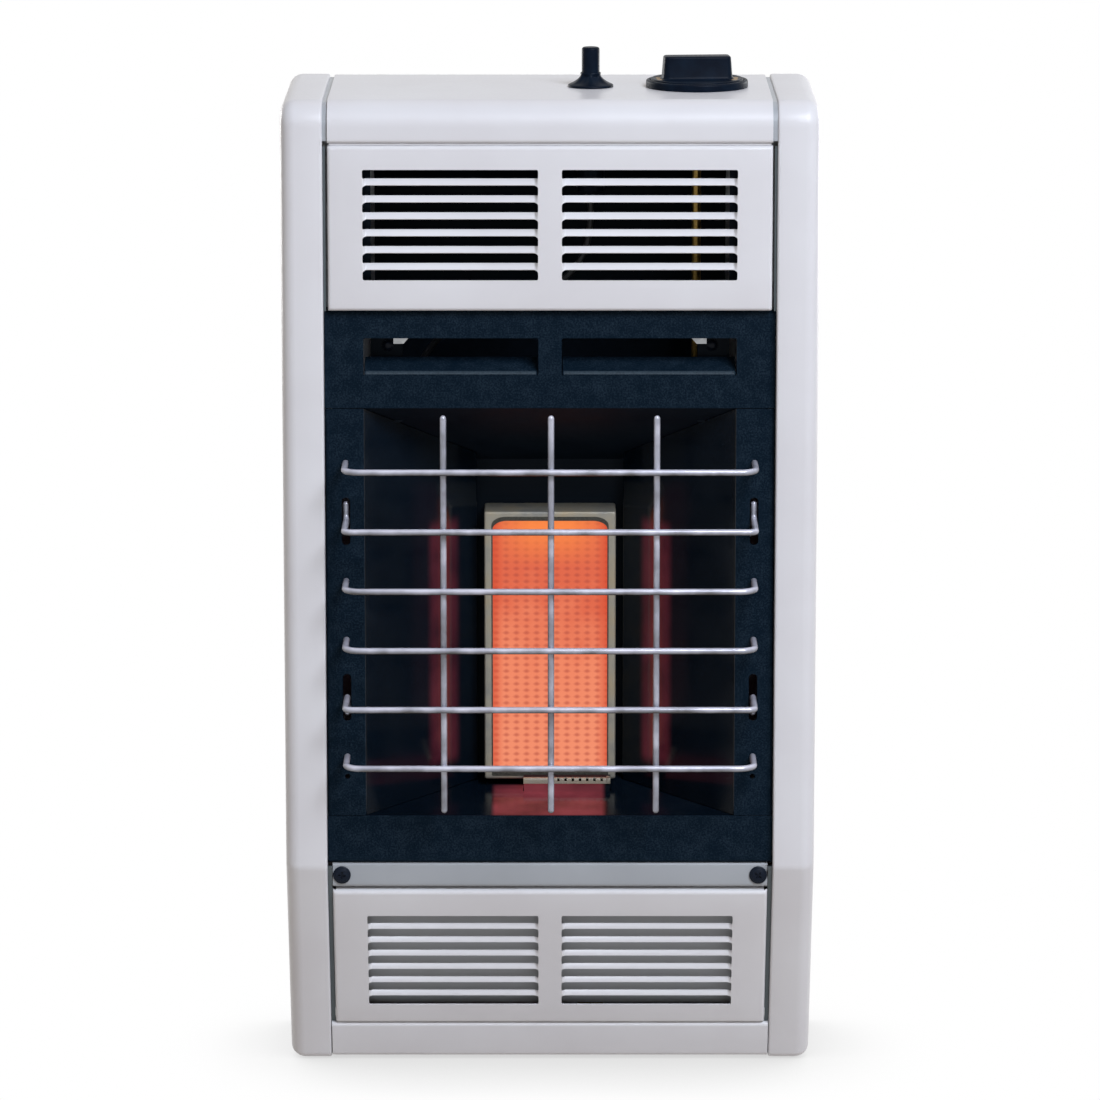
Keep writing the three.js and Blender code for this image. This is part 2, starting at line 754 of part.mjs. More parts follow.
const hoodLine = [
  [flangeFace, openingTop + reflector.frontFlange],
  [flangeFace, openingTop + seat],
  [-reflector.back - seat, backTop],
];
const floorLine = [
  [-reflector.back - seat, backBottom],
  [flangeFace, openingBottom - seat],
  [flangeFace, openingBottom - reflector.frontFlange],
];
const sideHalf = openingHalf + 0.4;

function reflectorOutline() {
  const { back, flange } = reflector;
  const wide = blackHalf - 3.5;
  const start = flangeFace + 2;
  const corners = [
    [backHalf + flange, -back], [sideHalf + flange, start], [wide, start],
    [wide, flangeFace - 1],
  ];
  return [...corners, ...corners.map(([x, y]) => [-x, y]).reverse()].reverse();
}

function roofOrFloor(line) {
  const plate = prism('alongX', sheetSection(line, reflector.sheet), -half, half);
  return plate.intersect(prism('alongZ', reflectorOutline(), 0, topZ));
}

function reflectorSide(side) {
  const { back, corner, sheet } = reflector;
  const flangeEnd = endHalf - guard.wire / 2 - 1;
  const section = sheetSection([
    [backHalf, -back - sheet], [backHalf, -corner], [sideHalf, flangeFace],
    [flangeEnd, flangeFace],
  ], sheet);
  const room = prism('alongX', [
    [hoodLine[2][0] + 1, hoodLine[2][1] - 1],
    [flangeFace - 1, openingTop],
    [flangeFace - 1, openingBottom + seat],
    [floorLine[0][0] + 1, floorLine[0][1] + seat],
  ], 0, half);
  const geometry = toGeometry(prism('alongZ', section, 0, topZ).intersect(room));
  return side > 0 ? geometry : mirrored(geometry);
}

const pilotTop = openingBottom + pilot.topRise;
const pilotPlate = openingBottom - pilot.plateDrop;
const pilotFoot = pilotPlate - pilot.footDrop;

function pilotHole() {
  const { left, right, y, reach } = pilot;
  return box(left - 4, right + 4, y - reach - 1.5, y + reach + 1, pilotPlate, pilotTop);
}

// two ears stand on the hood and close the outer ends of the header's slots
function hoodWithEars() {
  const { earFrom, earTo, earBack, earRise, back, sheet } = reflector;
  const earY = flangeFace + earBack;
  const slope = (openingTop - backTop) / (-back - flangeFace);
  const foot = openingTop - earBack * slope;
  const ears = [[-earTo, -earFrom], [earFrom, earTo]].map(([x0, x1]) =>
    box(x0, x1, earY, earY + sheet, foot, slotTop + earRise));
  return joined(roofOrFloor(hoodLine), ...ears);
}

add('reflector_hood', hoodWithEars(), looks.cavity);
add('reflector_floor', roofOrFloor(floorLine).subtract(pilotHole()), looks.cavity);
add('reflector_right', reflectorSide(1), looks.cavity);
add('reflector_left', reflectorSide(-1), looks.cavity);

const boxHalf = burner.half - burner.sheet - burner.play;
const boxBottom = frameBottom + burner.sheet + burner.play;
const boxTop = frameTop - burner.sheet - burner.play;
const bezelFront = -reflector.back - burner.stand;
const bezelBack = -reflector.back - seat;

function reflectorBack() {
  const { back, sheet, flange } = reflector;
  const wide = backHalf + flange + 1.4;
  const play = burner.play - 0.4;
  const plate = box(-wide, wide, -back, -back + sheet, backBottom - 12, backTop + flange);
  return plate.subtract(box(-boxHalf - play, boxHalf + play, -back - over,
    -back + sheet + over, boxBottom - play, boxTop + play));
}

add('reflector_back', reflectorBack(), looks.cavity);

// ---- burner ----

function plaqueFrame() {
  const { half: wide, sheet, lip, lipBottom, lipTop } = burner;
  return without(
    box(-wide, wide, bezelFront, bezelBack, frameBottom, frameTop),
    box(-wide + sheet, wide - sheet, bezelFront + sheet, bezelBack + over,
      frameBottom + sheet, frameTop - sheet),
    box(-wide + lip, wide - lip, bezelFront - over, bezelFront + sheet + over,
      frameBottom + lipBottom, frameTop - lipTop),
  );
}

add('plaque_frame', plaqueFrame(), looks.bezel);

const plaqueFront = bezelFront + burner.sheet + seat;
const plaqueBack = plaqueFront + burner.plaque;

function ceramicPlaque() {
  const { grooves, groove, lip, play } = burner;
  const fit = play / 2;
  const wide = boxHalf + fit;
  const plaque = box(-wide, wide, plaqueFront, plaqueBack, boxBottom - fit, boxTop + fit);
  const span = 2 * (burner.half - lip);
  const pitch = span / (grooves + 1);
  const cuts = Array.from({ length: grooves }, (_, i) => {
    const x = -span / 2 + (i + 1) * pitch;
    return box(x - groove / 2, x + groove / 2, plaqueFront - over, plaqueFront + groove,
      boxBottom + 4, boxTop - 4);
  });
  return without(plaque, ...cuts);
}

add('ceramic_plaque', ceramicPlaque(), looks.plaque);

const gasketBack = plaqueBack + seat + burner.gasket;

// the space inside the ledge that carries the plaque and its gasket
function ledgeRoom(y0, y1) {
  const { rest } = burner;
  return box(-boxHalf + rest, boxHalf - rest, y0, y1, boxBottom + rest, boxTop - rest);
}

function gasket() {
  return without(
    box(-boxHalf, boxHalf, plaqueBack + seat, gasketBack, boxBottom, boxTop),
    ledgeRoom(plaqueBack, gasketBack + over),
  );
}

add('plaque_gasket', gasket(), looks.fibre);

const trayFront = gasketBack + seat;
const trayBack = trayFront + burner.box;

function burnerBox() {
  const { sheet, venturiThroat, venturiY, flange } = burner;
  const flangeY = -reflector.back + reflector.sheet + seat;
  return without(
    joined(
      box(-boxHalf, boxHalf, trayFront, trayBack, boxBottom, boxTop),
      box(-boxHalf - flange, boxHalf + flange, flangeY, flangeY + sheet, boxBottom,
        boxTop + flange),
    ),
    box(-boxHalf + sheet, boxHalf - sheet, trayFront + sheet, trayBack - sheet,
      boxBottom + sheet, boxTop - sheet),
    ledgeRoom(trayFront - over, trayFront + sheet + over),
    post(0, venturiY, venturiThroat + 1, boxBottom - over, boxBottom + sheet + over),
  );
}

add('burner_box', burnerBox(), looks.steel);

function venturi() {
  const { sheet, venturiThroat: throat, venturiFlange: flange, venturiTall } = burner;
  const top = boxBottom - seat;
  const mouth = frameBottom - venturiTall;
  return turnedPiece([
    [throat + 1, top], [throat, mouth + 16], [throat + 1, mouth + 8],
    [flange - sheet, mouth], [flange, mouth],
    [throat + 1 + sheet, mouth + 9], [throat + sheet, mouth + 16],
    [throat + 1 + sheet, top - sheet], [flange, top - sheet], [flange, top],
  ], 0, burner.venturiY, 16);
}

add('venturi', solid(venturi()), looks.steel);

const spudSeat = spud.plate + spud.sheet + seat;
const spudBottom = spudSeat - spud.below;

function orificeSpud() {
  const y = burner.venturiY;
  const tip = spudSeat + spud.tip;
  return without(
    joined(
      post(0, y, spud.thread, spudBottom, spudSeat + 1, 20),
      post(0, y, spud.hex, spudSeat, spudSeat + 8, 6),
      post(0, y, 4, spudSeat + 7, tip, 16),
    ),
    post(0, y, 1, spudSeat, tip + over, 8),
    post(0, y, 2.6, spudBottom - over, spudSeat + 1, 12),
  );
}

function orificeBracket() {
  const { plate, sheet, thread, bracketHalf, bracketTall, bracketReach } = spud;
  const section = sheetSection([
    [burner.venturiY - bracketReach, plate], [webFront - seat, plate],
    [webFront - seat, plate + bracketTall],
  ], sheet);
  return without(prism('alongX', section, -bracketHalf, bracketHalf),
    post(0, burner.venturiY, thread + seat, plate - over, plate + sheet + over, 20));
}

add('orifice_spud', orificeSpud(), looks.brass);
add('orifice_bracket', orificeBracket(), looks.steel);

// ---- pilot ----

// a channel with a hood; its tab lies on the front of the reflector's floor
function pilotBracket() {
  const { left, right, y, reach, xs } = pilot;
  const near = y - reach;
  const far = y + reach;
  const tab = openingBottom - seat;
  return without(
    joined(
      box(left, right, near, far, pilotTop - 1, pilotTop),
      box(left, right, near, near + 1, pilotPlate, pilotTop),
      box(left, right, far - 1, far, pilotPlate, pilotTop - 5),
      box(left, right, near, far, pilotPlate, pilotPlate + 1.2),
      box(left, right, near - 12, near + 0.5, tab, tab + 1),
      box(left, left + 2, near, far, pilotPlate, pilotTop),
    ),
    ...[pilot.burner, pilot.thermocouple, pilot.electrode].map((radius, i) =>
      post(xs[i], y, radius + seat, pilotPlate - over, pilotPlate + 1.2 + over, 16)),
  );
}

add('pilot_bracket', pilotBracket(), looks.steel);

add('pilot_burner', joined(
  post(pilot.xs[0], pilot.y, 5, pilotFoot, pilotFoot + 8, 6),
  post(pilot.xs[0], pilot.y, pilot.burner, pilotFoot + 7, pilotTop - 7, 16),
), looks.brass);

add('thermocouple', joined(
  post(pilot.xs[1], pilot.y, 3.4, pilotFoot, pilotFoot + 10, 12),
  post(pilot.xs[1], pilot.y, pilot.thermocouple, pilotFoot + 9, pilotTop - 4, 12),
), looks.steel);

add('spark_electrode', joined(
  post(pilot.xs[2], pilot.y, 2, pilotFoot, pilotFoot + 7, 12),
  post(pilot.xs[2], pilot.y, pilot.electrode, pilotFoot + 6, pilotTop - 11, 16),
  post(pilot.xs[2], pilot.y, 1, pilotTop - 12, pilotTop - 4, 8),
), looks.ceramic);

// ---- gas train ----

const springFoot = valve.boss + seat;
const collarBottom = springFoot + knob.springLength + seat;
const couplingBottom = collarBottom + knob.collarSheet + seat;
const couplingTop = couplingBottom + knob.couplingTall;

function gasValve() {
  const x0 = valveX - valve.width / 2;
  const y0 = valve.y - valve.depth / 2;
  const shankEnd = couplingBottom - knob.shank - knob.travel - 1;
  const corners = [
    [x0, y0, 6], [x0 + valve.width, y0, 6],
    [x0 + valve.width, y0 + valve.depth, 6], [x0, y0 + valve.depth, 6],
  ];
  const body = joined(
    prism('alongZ', outline(corners, 3), valve.bottom, valve.top),
    post(valveX, valve.y, valve.bossRadius, valve.top - 1, valve.boss),
    barY(valveX + 8, (valve.bottom + valve.top) / 2, 9, y0 - 4, y0 + 1),
  );
  return without(body,
    post(valveX, valve.y, valve.stem + seat, shankEnd, valve.boss + over));
}

function valveBracket() {
  const { y, depth, bottom, bracketSheet, bracketHalf, bracketTall } = valve;
  const plate = bottom - seat - bracketSheet;
  const section = sheetSection([
    [y - depth / 2, plate], [webFront - seat, plate],
    [webFront - seat, plate + bracketTall],
  ], bracketSheet);
  return prism('alongX', section, valveX - bracketHalf, valveX + bracketHalf);
}

add('gas_valve', gasValve(), looks.aluminium);
add('valve_bracket', valveBracket(), looks.steel);

function regulator() {
  const profile = [
    [0, 0], [10, 0], [10, 8], [16, 10], [16, 28], [27, 29], [27, 37], [20, 40],
    [18, 50], [0, 51],
  ].map(([r, z]) => [r, z + inlet.regulator]);
  const outlet = barX(inlet.y, valve.bottom + 4, 6, inletX + 14, valveLeft);
  return joined(solid(turnedPiece(profile, inletX, inlet.y, 20)), outlet);
}

function inletFitting() {
  const { y, radius, bore, hex, regulator: top } = inlet;
  return without(
    joined(
      post(inletX, y, hex, top - 14, top - seat, 6),
      post(inletX, y, radius, seat, top - 13, 24),
    ),
    post(inletX, y, bore, -over, top - 4),
  );
}

add('regulator', regulator(), looks.aluminium);
add('inlet_fitting', inletFitting(), looks.brass);

add('main_gas_tube', solid(tube(smooth([
  [valveLeft, -53, 92], [valveLeft - 8, -52, 92], [inletX + 18, -38, 91],
  [inletX, -29, 88], [inletX - 16, -30, 78], [1, -35, 80],
  [0, burner.venturiY, 88], [0, burner.venturiY, spudBottom - seat],
]), 4, 26)), looks.aluminium);

add('pilot_tube', solid(tube(smooth([
  [valveX - 18, -84, valve.top + seat], [valveX - 18, -84, 108], [valveX - 26, -86, 120],
  [valveX - 44, -88, 127], [pilot.xs[0] + 4, -87, 129],
  [pilot.xs[0], pilot.y, 134], [pilot.xs[0], pilot.y, pilotFoot - seat],
]), 2, 24, 6)), looks.aluminium);

add('thermocouple_lead', solid(tube(smooth([
  [valveLeft, -84, 84], [valveLeft - 6, -85, 84], [inletX + 20, -94, 87],
  [inletX + 4, -98, 96], [inletX - 10, -94, 112],
  [pilot.xs[1], pilot.y, 130], [pilot.xs[1], pilot.y, pilotFoot - seat],
]), 1.25, 24, 6)), looks.brass);

// ---- gas control ----

const rodTop = topZ + knob.rodRise;
const rodBottom = couplingTop - knob.socket + seat;

add('spring_collar', without(
  post(valveX, valve.y, knob.collar, collarBottom, collarBottom + knob.collarSheet),
  post(valveX, valve.y, valve.stem + seat, collarBottom - over,
    collarBottom + knob.collarSheet + over),
), looks.steel);

class Helix extends THREE.Curve {
  getPoint(t, target = new THREE.Vector3()) {
    const angle = 2 * Math.PI * knob.springTurns * t;
    const rise = (knob.springLength - knob.springWire) * t;
    return target.set(valveX + knob.spring * Math.cos(angle),
      valve.y + knob.spring * Math.sin(angle), springFoot + knob.springWire / 2 + rise);
  }
}

// least gap between points of the coil that lie half a turn or more apart
function coilGap(curve) {
  const perTurn = 24;
  const points = curve.getPoints(perTurn * knob.springTurns);
  const gaps = points.flatMap((point, i) =>
    points.slice(i + perTurn / 2).map((other) => point.distanceTo(other)));
  return Math.min(...gaps) - knob.springWire;
}

const coil = new Helix();
console.log(`return spring: least gap between turns ${coilGap(coil).toFixed(2)} mm`);
add('return_spring',
  solid(tube(coil, knob.springWire / 2, 8 * knob.springTurns, 5)), looks.steel);

add('rod_coupling', without(
  joined(
    post(valveX, valve.y, valve.stem, couplingBottom - knob.shank, couplingBottom + 1, 20),
    post(valveX, valve.y, knob.coupling, couplingBottom, couplingTop),
  ),
  post(valveX, valve.y, knob.rod + seat, couplingTop - knob.socket, couplingTop + over, 16),
), looks.brass);

add('extension_rod', post(valveX, valve.y, knob.rod, rodBottom, rodTop, 16), looks.brass);

const bezelTop = topZ + seat + knob.bezelHeight;
const bezelBore = knob.skirt + knob.gap;

add('knob_bezel', solid(turnedPiece([
  [bezelBore, topZ + seat], [knob.bezel, topZ + seat],
  [knob.bezel, bezelTop - 1], [knob.bezel - 1, bezelTop], [bezelBore, bezelTop],
], valveX, valve.y, 40)), looks.plastic);

const skirtBottom = topZ + seat + knob.travel + 0.4;

function controlKnob() {
  const skirtTop = bezelTop + knob.rise;
  const skirt = solid(turnedPiece([
    [0, skirtBottom], [knob.skirt, skirtBottom], [knob.skirt, bezelTop],
    [knob.skirt - knob.rise, skirtTop], [0, skirtTop],
  ], 0, 0, 40));
  const reach = knob.barLength / 2;
  const width = knob.barWidth / 2;
  const grip = prism('alongZ', outline([
    [-reach, -width, 3], [reach, -width, 3], [reach, width, 3], [-reach, width, 3],
  ], 3), skirtTop - 1, topZ + knob.barTop);
  const bore = post(0, 0, knob.rod + seat, skirtBottom - over, rodTop + seat, 16);
  return without(joined(skirt, grip), bore);
}

const knobMesh = add('control_knob', controlKnob(), looks.plastic);
knobMesh.position.set(valveX, valve.y, 0);
knobMesh.rotation.z = THREE.MathUtils.degToRad(knob.turned);

// ---- piezo igniter ----

const collarTop = topZ + seat + igniter.collarHeight;
const bodyTop = topZ - 0.6;
const bodyBottom = bodyTop - igniter.bodyLength;
const buttonBottom = bodyTop - igniter.buttonFoot;
const buttonBore = igniter.button + igniter.play;

function igniterBody() {
  const { y, body, travel, pin, pinLength } = igniter;
  return without(
    joined(
      post(igniterX, y, body, bodyBottom, bodyTop, 20),
      post(igniterX, y, body + 2, bodyBottom + 14, bodyBottom + 38, 20),
      post(igniterX, y, pin, bodyBottom - pinLength, bodyBottom + 1, 12),
    ),
    post(igniterX, y, buttonBore, buttonBottom - travel - 0.6, bodyTop + over, 20),
  );
}

add('igniter_body', igniterBody(), looks.plastic);

const nutTop = underTop - seat;

add('igniter_lock_nut', without(
  post(igniterX, igniter.y, igniter.nut, nutTop - igniter.nutTall, nutTop, 6),
  post(igniterX, igniter.y, igniter.body + seat, nutTop - igniter.nutTall - over,
    nutTop + over, 28),
), looks.plastic);

function igniterCollar() {
  const base = topZ + seat;
  const neck = buttonBore + 1.2;
  return turnedPiece([
    [buttonBore, base], [igniter.collar, base], [igniter.collar - 0.4, base + 1.4],
    [igniter.collar * 0.72, base + 2.6], [igniter.collar * 0.56, base + 4.4],
    [neck, collarTop], [buttonBore, collarTop],
  ], igniterX, igniter.y, 24);
}

add('igniter_collar', solid(igniterCollar()), looks.plastic);

function igniterButton() {
  const top = topZ + igniter.buttonTop;
  const r = igniter.button;
  return turnedPiece([
    [0, buttonBottom], [r, buttonBottom], [r, top - 1], [r - 1, top], [0, top],
  ], igniterX, igniter.y, 24);
}

add('igniter_button', solid(igniterButton()), looks.plastic);

// down from the igniter, over the reflector's hood and down behind its left side
add('electrode_lead', solid(tube(smooth([
  [igniterX, igniter.y, bodyBottom - igniter.pinLength - seat],
  [igniterX, -70, bodyBottom - 19], [igniterX - 5, -72, bodyBottom - 41],
  [igniterX - 23, -72, bodyBottom - 61], [-34, -62, bodyBottom - 77],
  [-70, -48, bodyBottom - 97], [-88, -42, bodyBottom - 129], [-90, -40, openingMiddle + 27],
  [-90, -40, openingMiddle - 73], [-82, -46, 168], [-54, -68, 142], [-26, -84, 128], [-10, -90, 123],
  [pilot.xs[2], pilot.y, 130], [pilot.xs[2], pilot.y, pilotFoot - seat],
]), 2, 44, 6)), looks.plastic);

export default part;
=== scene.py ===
# Wall mounted gas heater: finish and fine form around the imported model.
# Shapes are worked out in millimetres, with heights from the casing's bottom edge.
import math

import bmesh
import bpy
import numpy as np
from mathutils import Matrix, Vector


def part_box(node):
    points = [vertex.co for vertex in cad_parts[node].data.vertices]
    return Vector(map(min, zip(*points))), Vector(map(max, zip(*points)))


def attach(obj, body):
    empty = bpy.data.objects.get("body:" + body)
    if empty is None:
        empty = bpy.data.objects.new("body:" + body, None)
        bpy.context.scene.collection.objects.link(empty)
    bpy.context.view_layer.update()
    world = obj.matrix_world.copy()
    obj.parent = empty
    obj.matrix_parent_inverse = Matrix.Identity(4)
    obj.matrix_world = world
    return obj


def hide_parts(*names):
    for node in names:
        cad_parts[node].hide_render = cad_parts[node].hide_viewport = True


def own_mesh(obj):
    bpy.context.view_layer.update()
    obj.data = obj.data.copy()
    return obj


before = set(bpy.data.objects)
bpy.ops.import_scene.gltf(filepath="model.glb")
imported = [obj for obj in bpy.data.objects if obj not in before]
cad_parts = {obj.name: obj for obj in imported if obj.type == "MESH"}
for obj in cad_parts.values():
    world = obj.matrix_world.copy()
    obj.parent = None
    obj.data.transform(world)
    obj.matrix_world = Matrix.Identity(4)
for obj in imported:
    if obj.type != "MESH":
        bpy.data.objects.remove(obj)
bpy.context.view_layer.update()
mm = 0.001
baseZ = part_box("right_side_panel")[0].z / mm
print("frame loaded:", len(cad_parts), "nodes")


def nodeBox(node):
    # lowest and highest corner of a node in millimetres, heights from the casing's bottom
    return [np.array(corner) / mm - [0, 0, baseZ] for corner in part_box(node)]


def unit(vector):
    return vector / np.linalg.norm(vector)


def smoothStep(t):
    # 3 t squared - 2 t cubed, level before 0 and after 1
    t = np.clip(t, 0, 1)
    return t * t * (3 - 2 * t)


def roundedLine(corners, steps=8, closed=False):
    # each corner (a, b, radius) becomes an arc that touches both of its sides
    points = [np.array(corner[:2], float) for corner in corners]
    count = len(points)
    parts = []
    for i, here in enumerate(points):
        radius = corners[i][2] if len(corners[i]) > 2 else 0
        if radius == 0 or (not closed and i in (0, count - 1)):
            parts.append(here[None])
            continue
        into = unit(here - points[i - 1])
        away = unit(points[(i + 1) % count] - here)
        turn = math.atan2(into[0] * away[1] - into[1] * away[0], into @ away)
        start = here - into * radius * math.tan(abs(turn) / 2)
        arm = math.copysign(radius, turn) * np.array([into[1], -into[0]])
        angle = turn * np.linspace(0, 1, steps + 1)[:, None]
        parts.append(start - arm + np.cos(angle) * arm + np.sin(angle) * np.array([-arm[1], arm[0]]))
    return np.vstack(parts)


def gridQuads(rows, cols, keep=None, wrap=False):
    # quads between neighbours of a grid; keep drops cells, wrap joins the last column to the first
    i, j = np.meshgrid(np.arange(rows - 1), np.arange(cols if wrap else cols - 1), indexing="ij")
    right = (j + 1) % cols
    quads = np.stack([i * cols + j, (i + 1) * cols + j, (i + 1) * cols + right, i * cols + right], -1)
    return (quads if keep is None else quads[keep]).reshape(-1, 4).tolist()


def carried(line, axis, places):
    # a line in the two other axes, carried straight along one axis through the given places
    points = np.insert(np.repeat(line, len(places), 0), axis, np.tile(places, len(line)), axis=1)
    return points, gridQuads(len(line), len(places))


def skin(loops):
    # closed outlines with equal point counts, joined side to side
    return np.vstack(loops), gridQuads(len(loops), len(loops[0]), wrap=True)


def stacked(loops):
    # the same, with both ends closed
    points, faces = skin(loops)
    count, total = len(loops[0]), len(points)
    return points, faces + [list(range(count)), list(range(total - 1, total - count - 1, -1))]


def prism(outline, axis, low, high):
    # a closed outline in the two other axes, carried along one axis between two values
    return stacked([np.insert(np.array(outline, float), axis, value, axis=1) for value in (low, high)])


def circle(sides):
    # cosines and sines of even steps round a circle
    angle = 2 * math.pi * np.arange(sides) / sides
    return np.cos(angle), np.sin(angle)


def turned(profile, x, y, sides=64):
    # a (radius, height) profile turned about an upright axis; a zero radius closes in one point
    cosine, sine = circle(sides)
    radius, tall = np.array(profile, float).T[..., None]
    return skin(np.stack([x + radius * cosine, y + radius * sine, tall + 0 * cosine], -1))


def tube(path, radius, sides=16):
    # a circle carried along a path, with a half round cap at each end: the cap's rings
    # shrink as the cosine while they move out along the path's end direction
    path = np.array(path, float)
    tangent = np.gradient(path, axis=0)
    tangent /= np.linalg.norm(tangent, axis=1)[:, None]
    cap = np.linspace(math.pi / 2, 0, 5)[:-1, None]
    centres = np.vstack([path[0] - tangent[0] * radius * np.sin(cap), path,
                         path[-1] + tangent[-1] * radius * np.sin(cap[::-1])])
    directions = np.vstack([tangent[:1]] * len(cap) + [tangent] + [tangent[-1:]] * len(cap))
    size = np.vstack([np.cos(cap), np.ones((len(path), 1)), np.cos(cap[::-1])])[..., None] * radius
    # the ring's first axis is carried on from station to station, kept square to the path
    aside = [unit(np.cross(directions[0], (1.0, 0.31, 0.57)))]
    for direction in directions[1:]:
        aside.append(unit(aside[-1] - direction * (aside[-1] @ direction)))
    aside = np.array(aside)
    other = np.cross(directions, aside)
    cosine, sine = (wave[None, :, None] for wave in circle(sides))
    return skin(centres[:, None] + size * (cosine * aside[:, None] + sine * other[:, None]))


def bentPath(corners, radius, steps=8):
    # straight runs in space joined by arcs: start and end of an arc lie radius * tan(turn / 2)
    # from its corner, and the arc swings about a centre on the inner side
    corners = np.array(corners, float)
    parts = [corners[:1]]
    for before, here, after in zip(corners[:-2], corners[1:-1], corners[2:]):
        into, away = unit(here - before), unit(after - here)
        turn = math.acos(np.clip(into @ away, -1, 1))
        inward = unit(away - into * (into @ away))
        start = here - into * radius * math.tan(turn / 2)
        angle = turn * np.linspace(0, 1, steps + 1)[:, None]
        parts.append(start + radius * (inward * (1 - np.cos(angle)) + into * np.sin(angle)))
    return np.vstack(parts + [corners[-1:]])


def easyCurve(points, steps=12):
    # a centripetal curve through the points: each span blends three straight steps by distance
    points = np.array(points, float)
    points = np.vstack([2 * points[0] - points[1], points, 2 * points[-1] - points[-2]])
    parts = []
    for i in range(len(points) - 3):
        blend = list(points[i:i + 4])
        knots = np.append(0, np.cumsum(np.linalg.norm(np.diff(blend, axis=0), axis=1) ** 0.5))
        t = np.linspace(knots[1], knots[2], steps, endpoint=False)[:, None]
        for spans in (((0, 1), (1, 2), (2, 3)), ((0, 2), (1, 3)), ((1, 2),)):
            blend = [((knots[b] - t) * p + (t - knots[a]) * q) / (knots[b] - knots[a])
                     for (a, b), p, q in zip(spans, blend, blend[1:])]
        parts.append(blend[0])
    return np.vstack(parts + [points[-2:-1]])


def spun(angle):
    # turns rows of two coordinates about their origin
    return np.array([[math.cos(angle), math.sin(angle)], [-math.sin(angle), math.cos(angle)]])


def disc(a, b, radius, sides=32):
    # a circle's outline
    cosine, sine = circle(sides)
    return np.stack([a + radius * cosine, b + radius * sine], 1)


def slab(a0, a1, b0, b1, radius=0.0, steps=5):
    # a rectangle's outline with round corners
    corners = [(a0, b0, radius), (a1, b0, radius), (a1, b1, radius), (a0, b1, radius)]
    return roundedLine(corners, steps, closed=True)


def together(*surfaces):
    # several surfaces as one: each one's faces count on from the points before it
    points, faces, start = [], [], 0
    for verts, polygons in surfaces:
        points.append(verts)
        faces += [[index + start for index in polygon] for polygon in polygons]
        start += len(verts)
    return np.vstack(points), faces


def mirrored(surface):
    # the same surface on the heater's other side
    verts, faces = surface
    return verts * [-1, 1, 1], [face[::-1] for face in faces]


def meshFrom(name, surface):
    # millimetres and casing heights become metres in the frame
    verts, faces = surface
    mesh = bpy.data.meshes.new(name)
    mesh.from_pydata((np.array(verts) + [0, 0, baseZ]) * mm, [], faces)
    work = bmesh.new()
    work.from_mesh(mesh)
    bmesh.ops.remove_doubles(work, verts=work.verts, dist=1e-6)
    bmesh.ops.delete(work, geom=[v for v in work.verts if not v.link_faces], context="VERTS")
    bmesh.ops.recalc_face_normals(work, faces=work.faces)
    work.to_mesh(mesh)
    work.free()
    return mesh


def newObject(name, data):
    thing = bpy.data.objects.new(name, data)
    bpy.context.scene.collection.objects.link(thing)
    return thing


def faceAway(mesh, inside):
    # turns a shell so that its faces look away from a point on its inner side
    point = Vector((inside[0], inside[1], inside[2] + baseZ)) * mm
    if sum(face.area * face.normal.dot(face.center - point) for face in mesh.polygons) < 0:
        mesh.flip_normals()


def roundEdges(piece, width, crease, harden):
    edge = piece.modifiers.new("edges", "BEVEL")
    edge.width = width * mm
    edge.segments = 2
    edge.limit_method = "ANGLE"
    edge.angle_limit = math.radians(crease)
    edge.harden_normals = harden
    edge.use_clamp_overlap = True


def addPiece(name, surface, material, stands=(), inside=None, body="root", slot=None, wall=0,
             cuts=(), bevel=0.25, crease=40):
    # a shell gets its wall inwards, then its holes, then small round edges
    mesh = meshFrom(name, surface)
    if inside is not None:
        faceAway(mesh, inside)
    piece = newObject(name, mesh)
    if wall:
        shell = piece.modifiers.new("wall", "SOLIDIFY")
        shell.thickness = wall * mm
        shell.offset = -1
        shell.use_even_offset = True
    if len(cuts):
        cutter = newObject(name + "_cut", meshFrom(name + "_cut", together(*cuts)))
        hole = piece.modifiers.new("holes", "BOOLEAN")
        hole.object = cutter
        hole.operation = "DIFFERENCE"
        hole.solver = "EXACT"
    if wall or len(cuts):
        bpy.context.view_layer.update()
        finished = piece.evaluated_get(bpy.context.evaluated_depsgraph_get())
        solidMesh = bpy.data.meshes.new_from_object(finished)
        piece.modifiers.clear()
        piece.data = solidMesh
    if len(cuts):
        bpy.data.objects.remove(cutter)
    data = piece.data
    data.polygons.foreach_set("use_smooth", np.ones(len(data.polygons), bool))
    if bevel:
        roundEdges(piece, bevel, crease, True)
    else:
        data.set_sharp_from_angle(angle=math.radians(crease))
    data.materials.clear()
    data.materials.append(material)
    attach(piece, body)
    if stands:
        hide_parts(*stands)
    return piece


def addPair(name, surface, material, stands="", inside=None, cuts=(), **finish):
    # the right hand piece and its mirror image; {} in stands is the side's name
    for word, side in sides.items():
        same = side > 0
        addPiece(f"{name}_{word}", surface if same else mirrored(surface), material,
                 [stands.format(word)] if stands else (), inside and (side * inside[0], *inside[1:]),
                 cuts=cuts if same else [mirrored(cut) for cut in cuts], **finish)


def linear(code):
    # sRGB hex to the linear colour that shaders take
    values = [int(code[i:i + 2], 16) / 255 for i in (1, 3, 5)]
    return tuple(v / 12.92 if v <= 0.04045 else ((v + 0.055) / 1.055) ** 2.4 for v in values) + (1,)


def fillNode(tree, node, values=(), links=()):
    # values fill sockets; links join a socket, or a node's first output, to a socket
    for key, value in dict(values).items():
        node.inputs[key].default_value = value
    for key, source in dict(links).items():
        tree.links.new(getattr(source, "outputs", [source])[0], node.inputs[key])


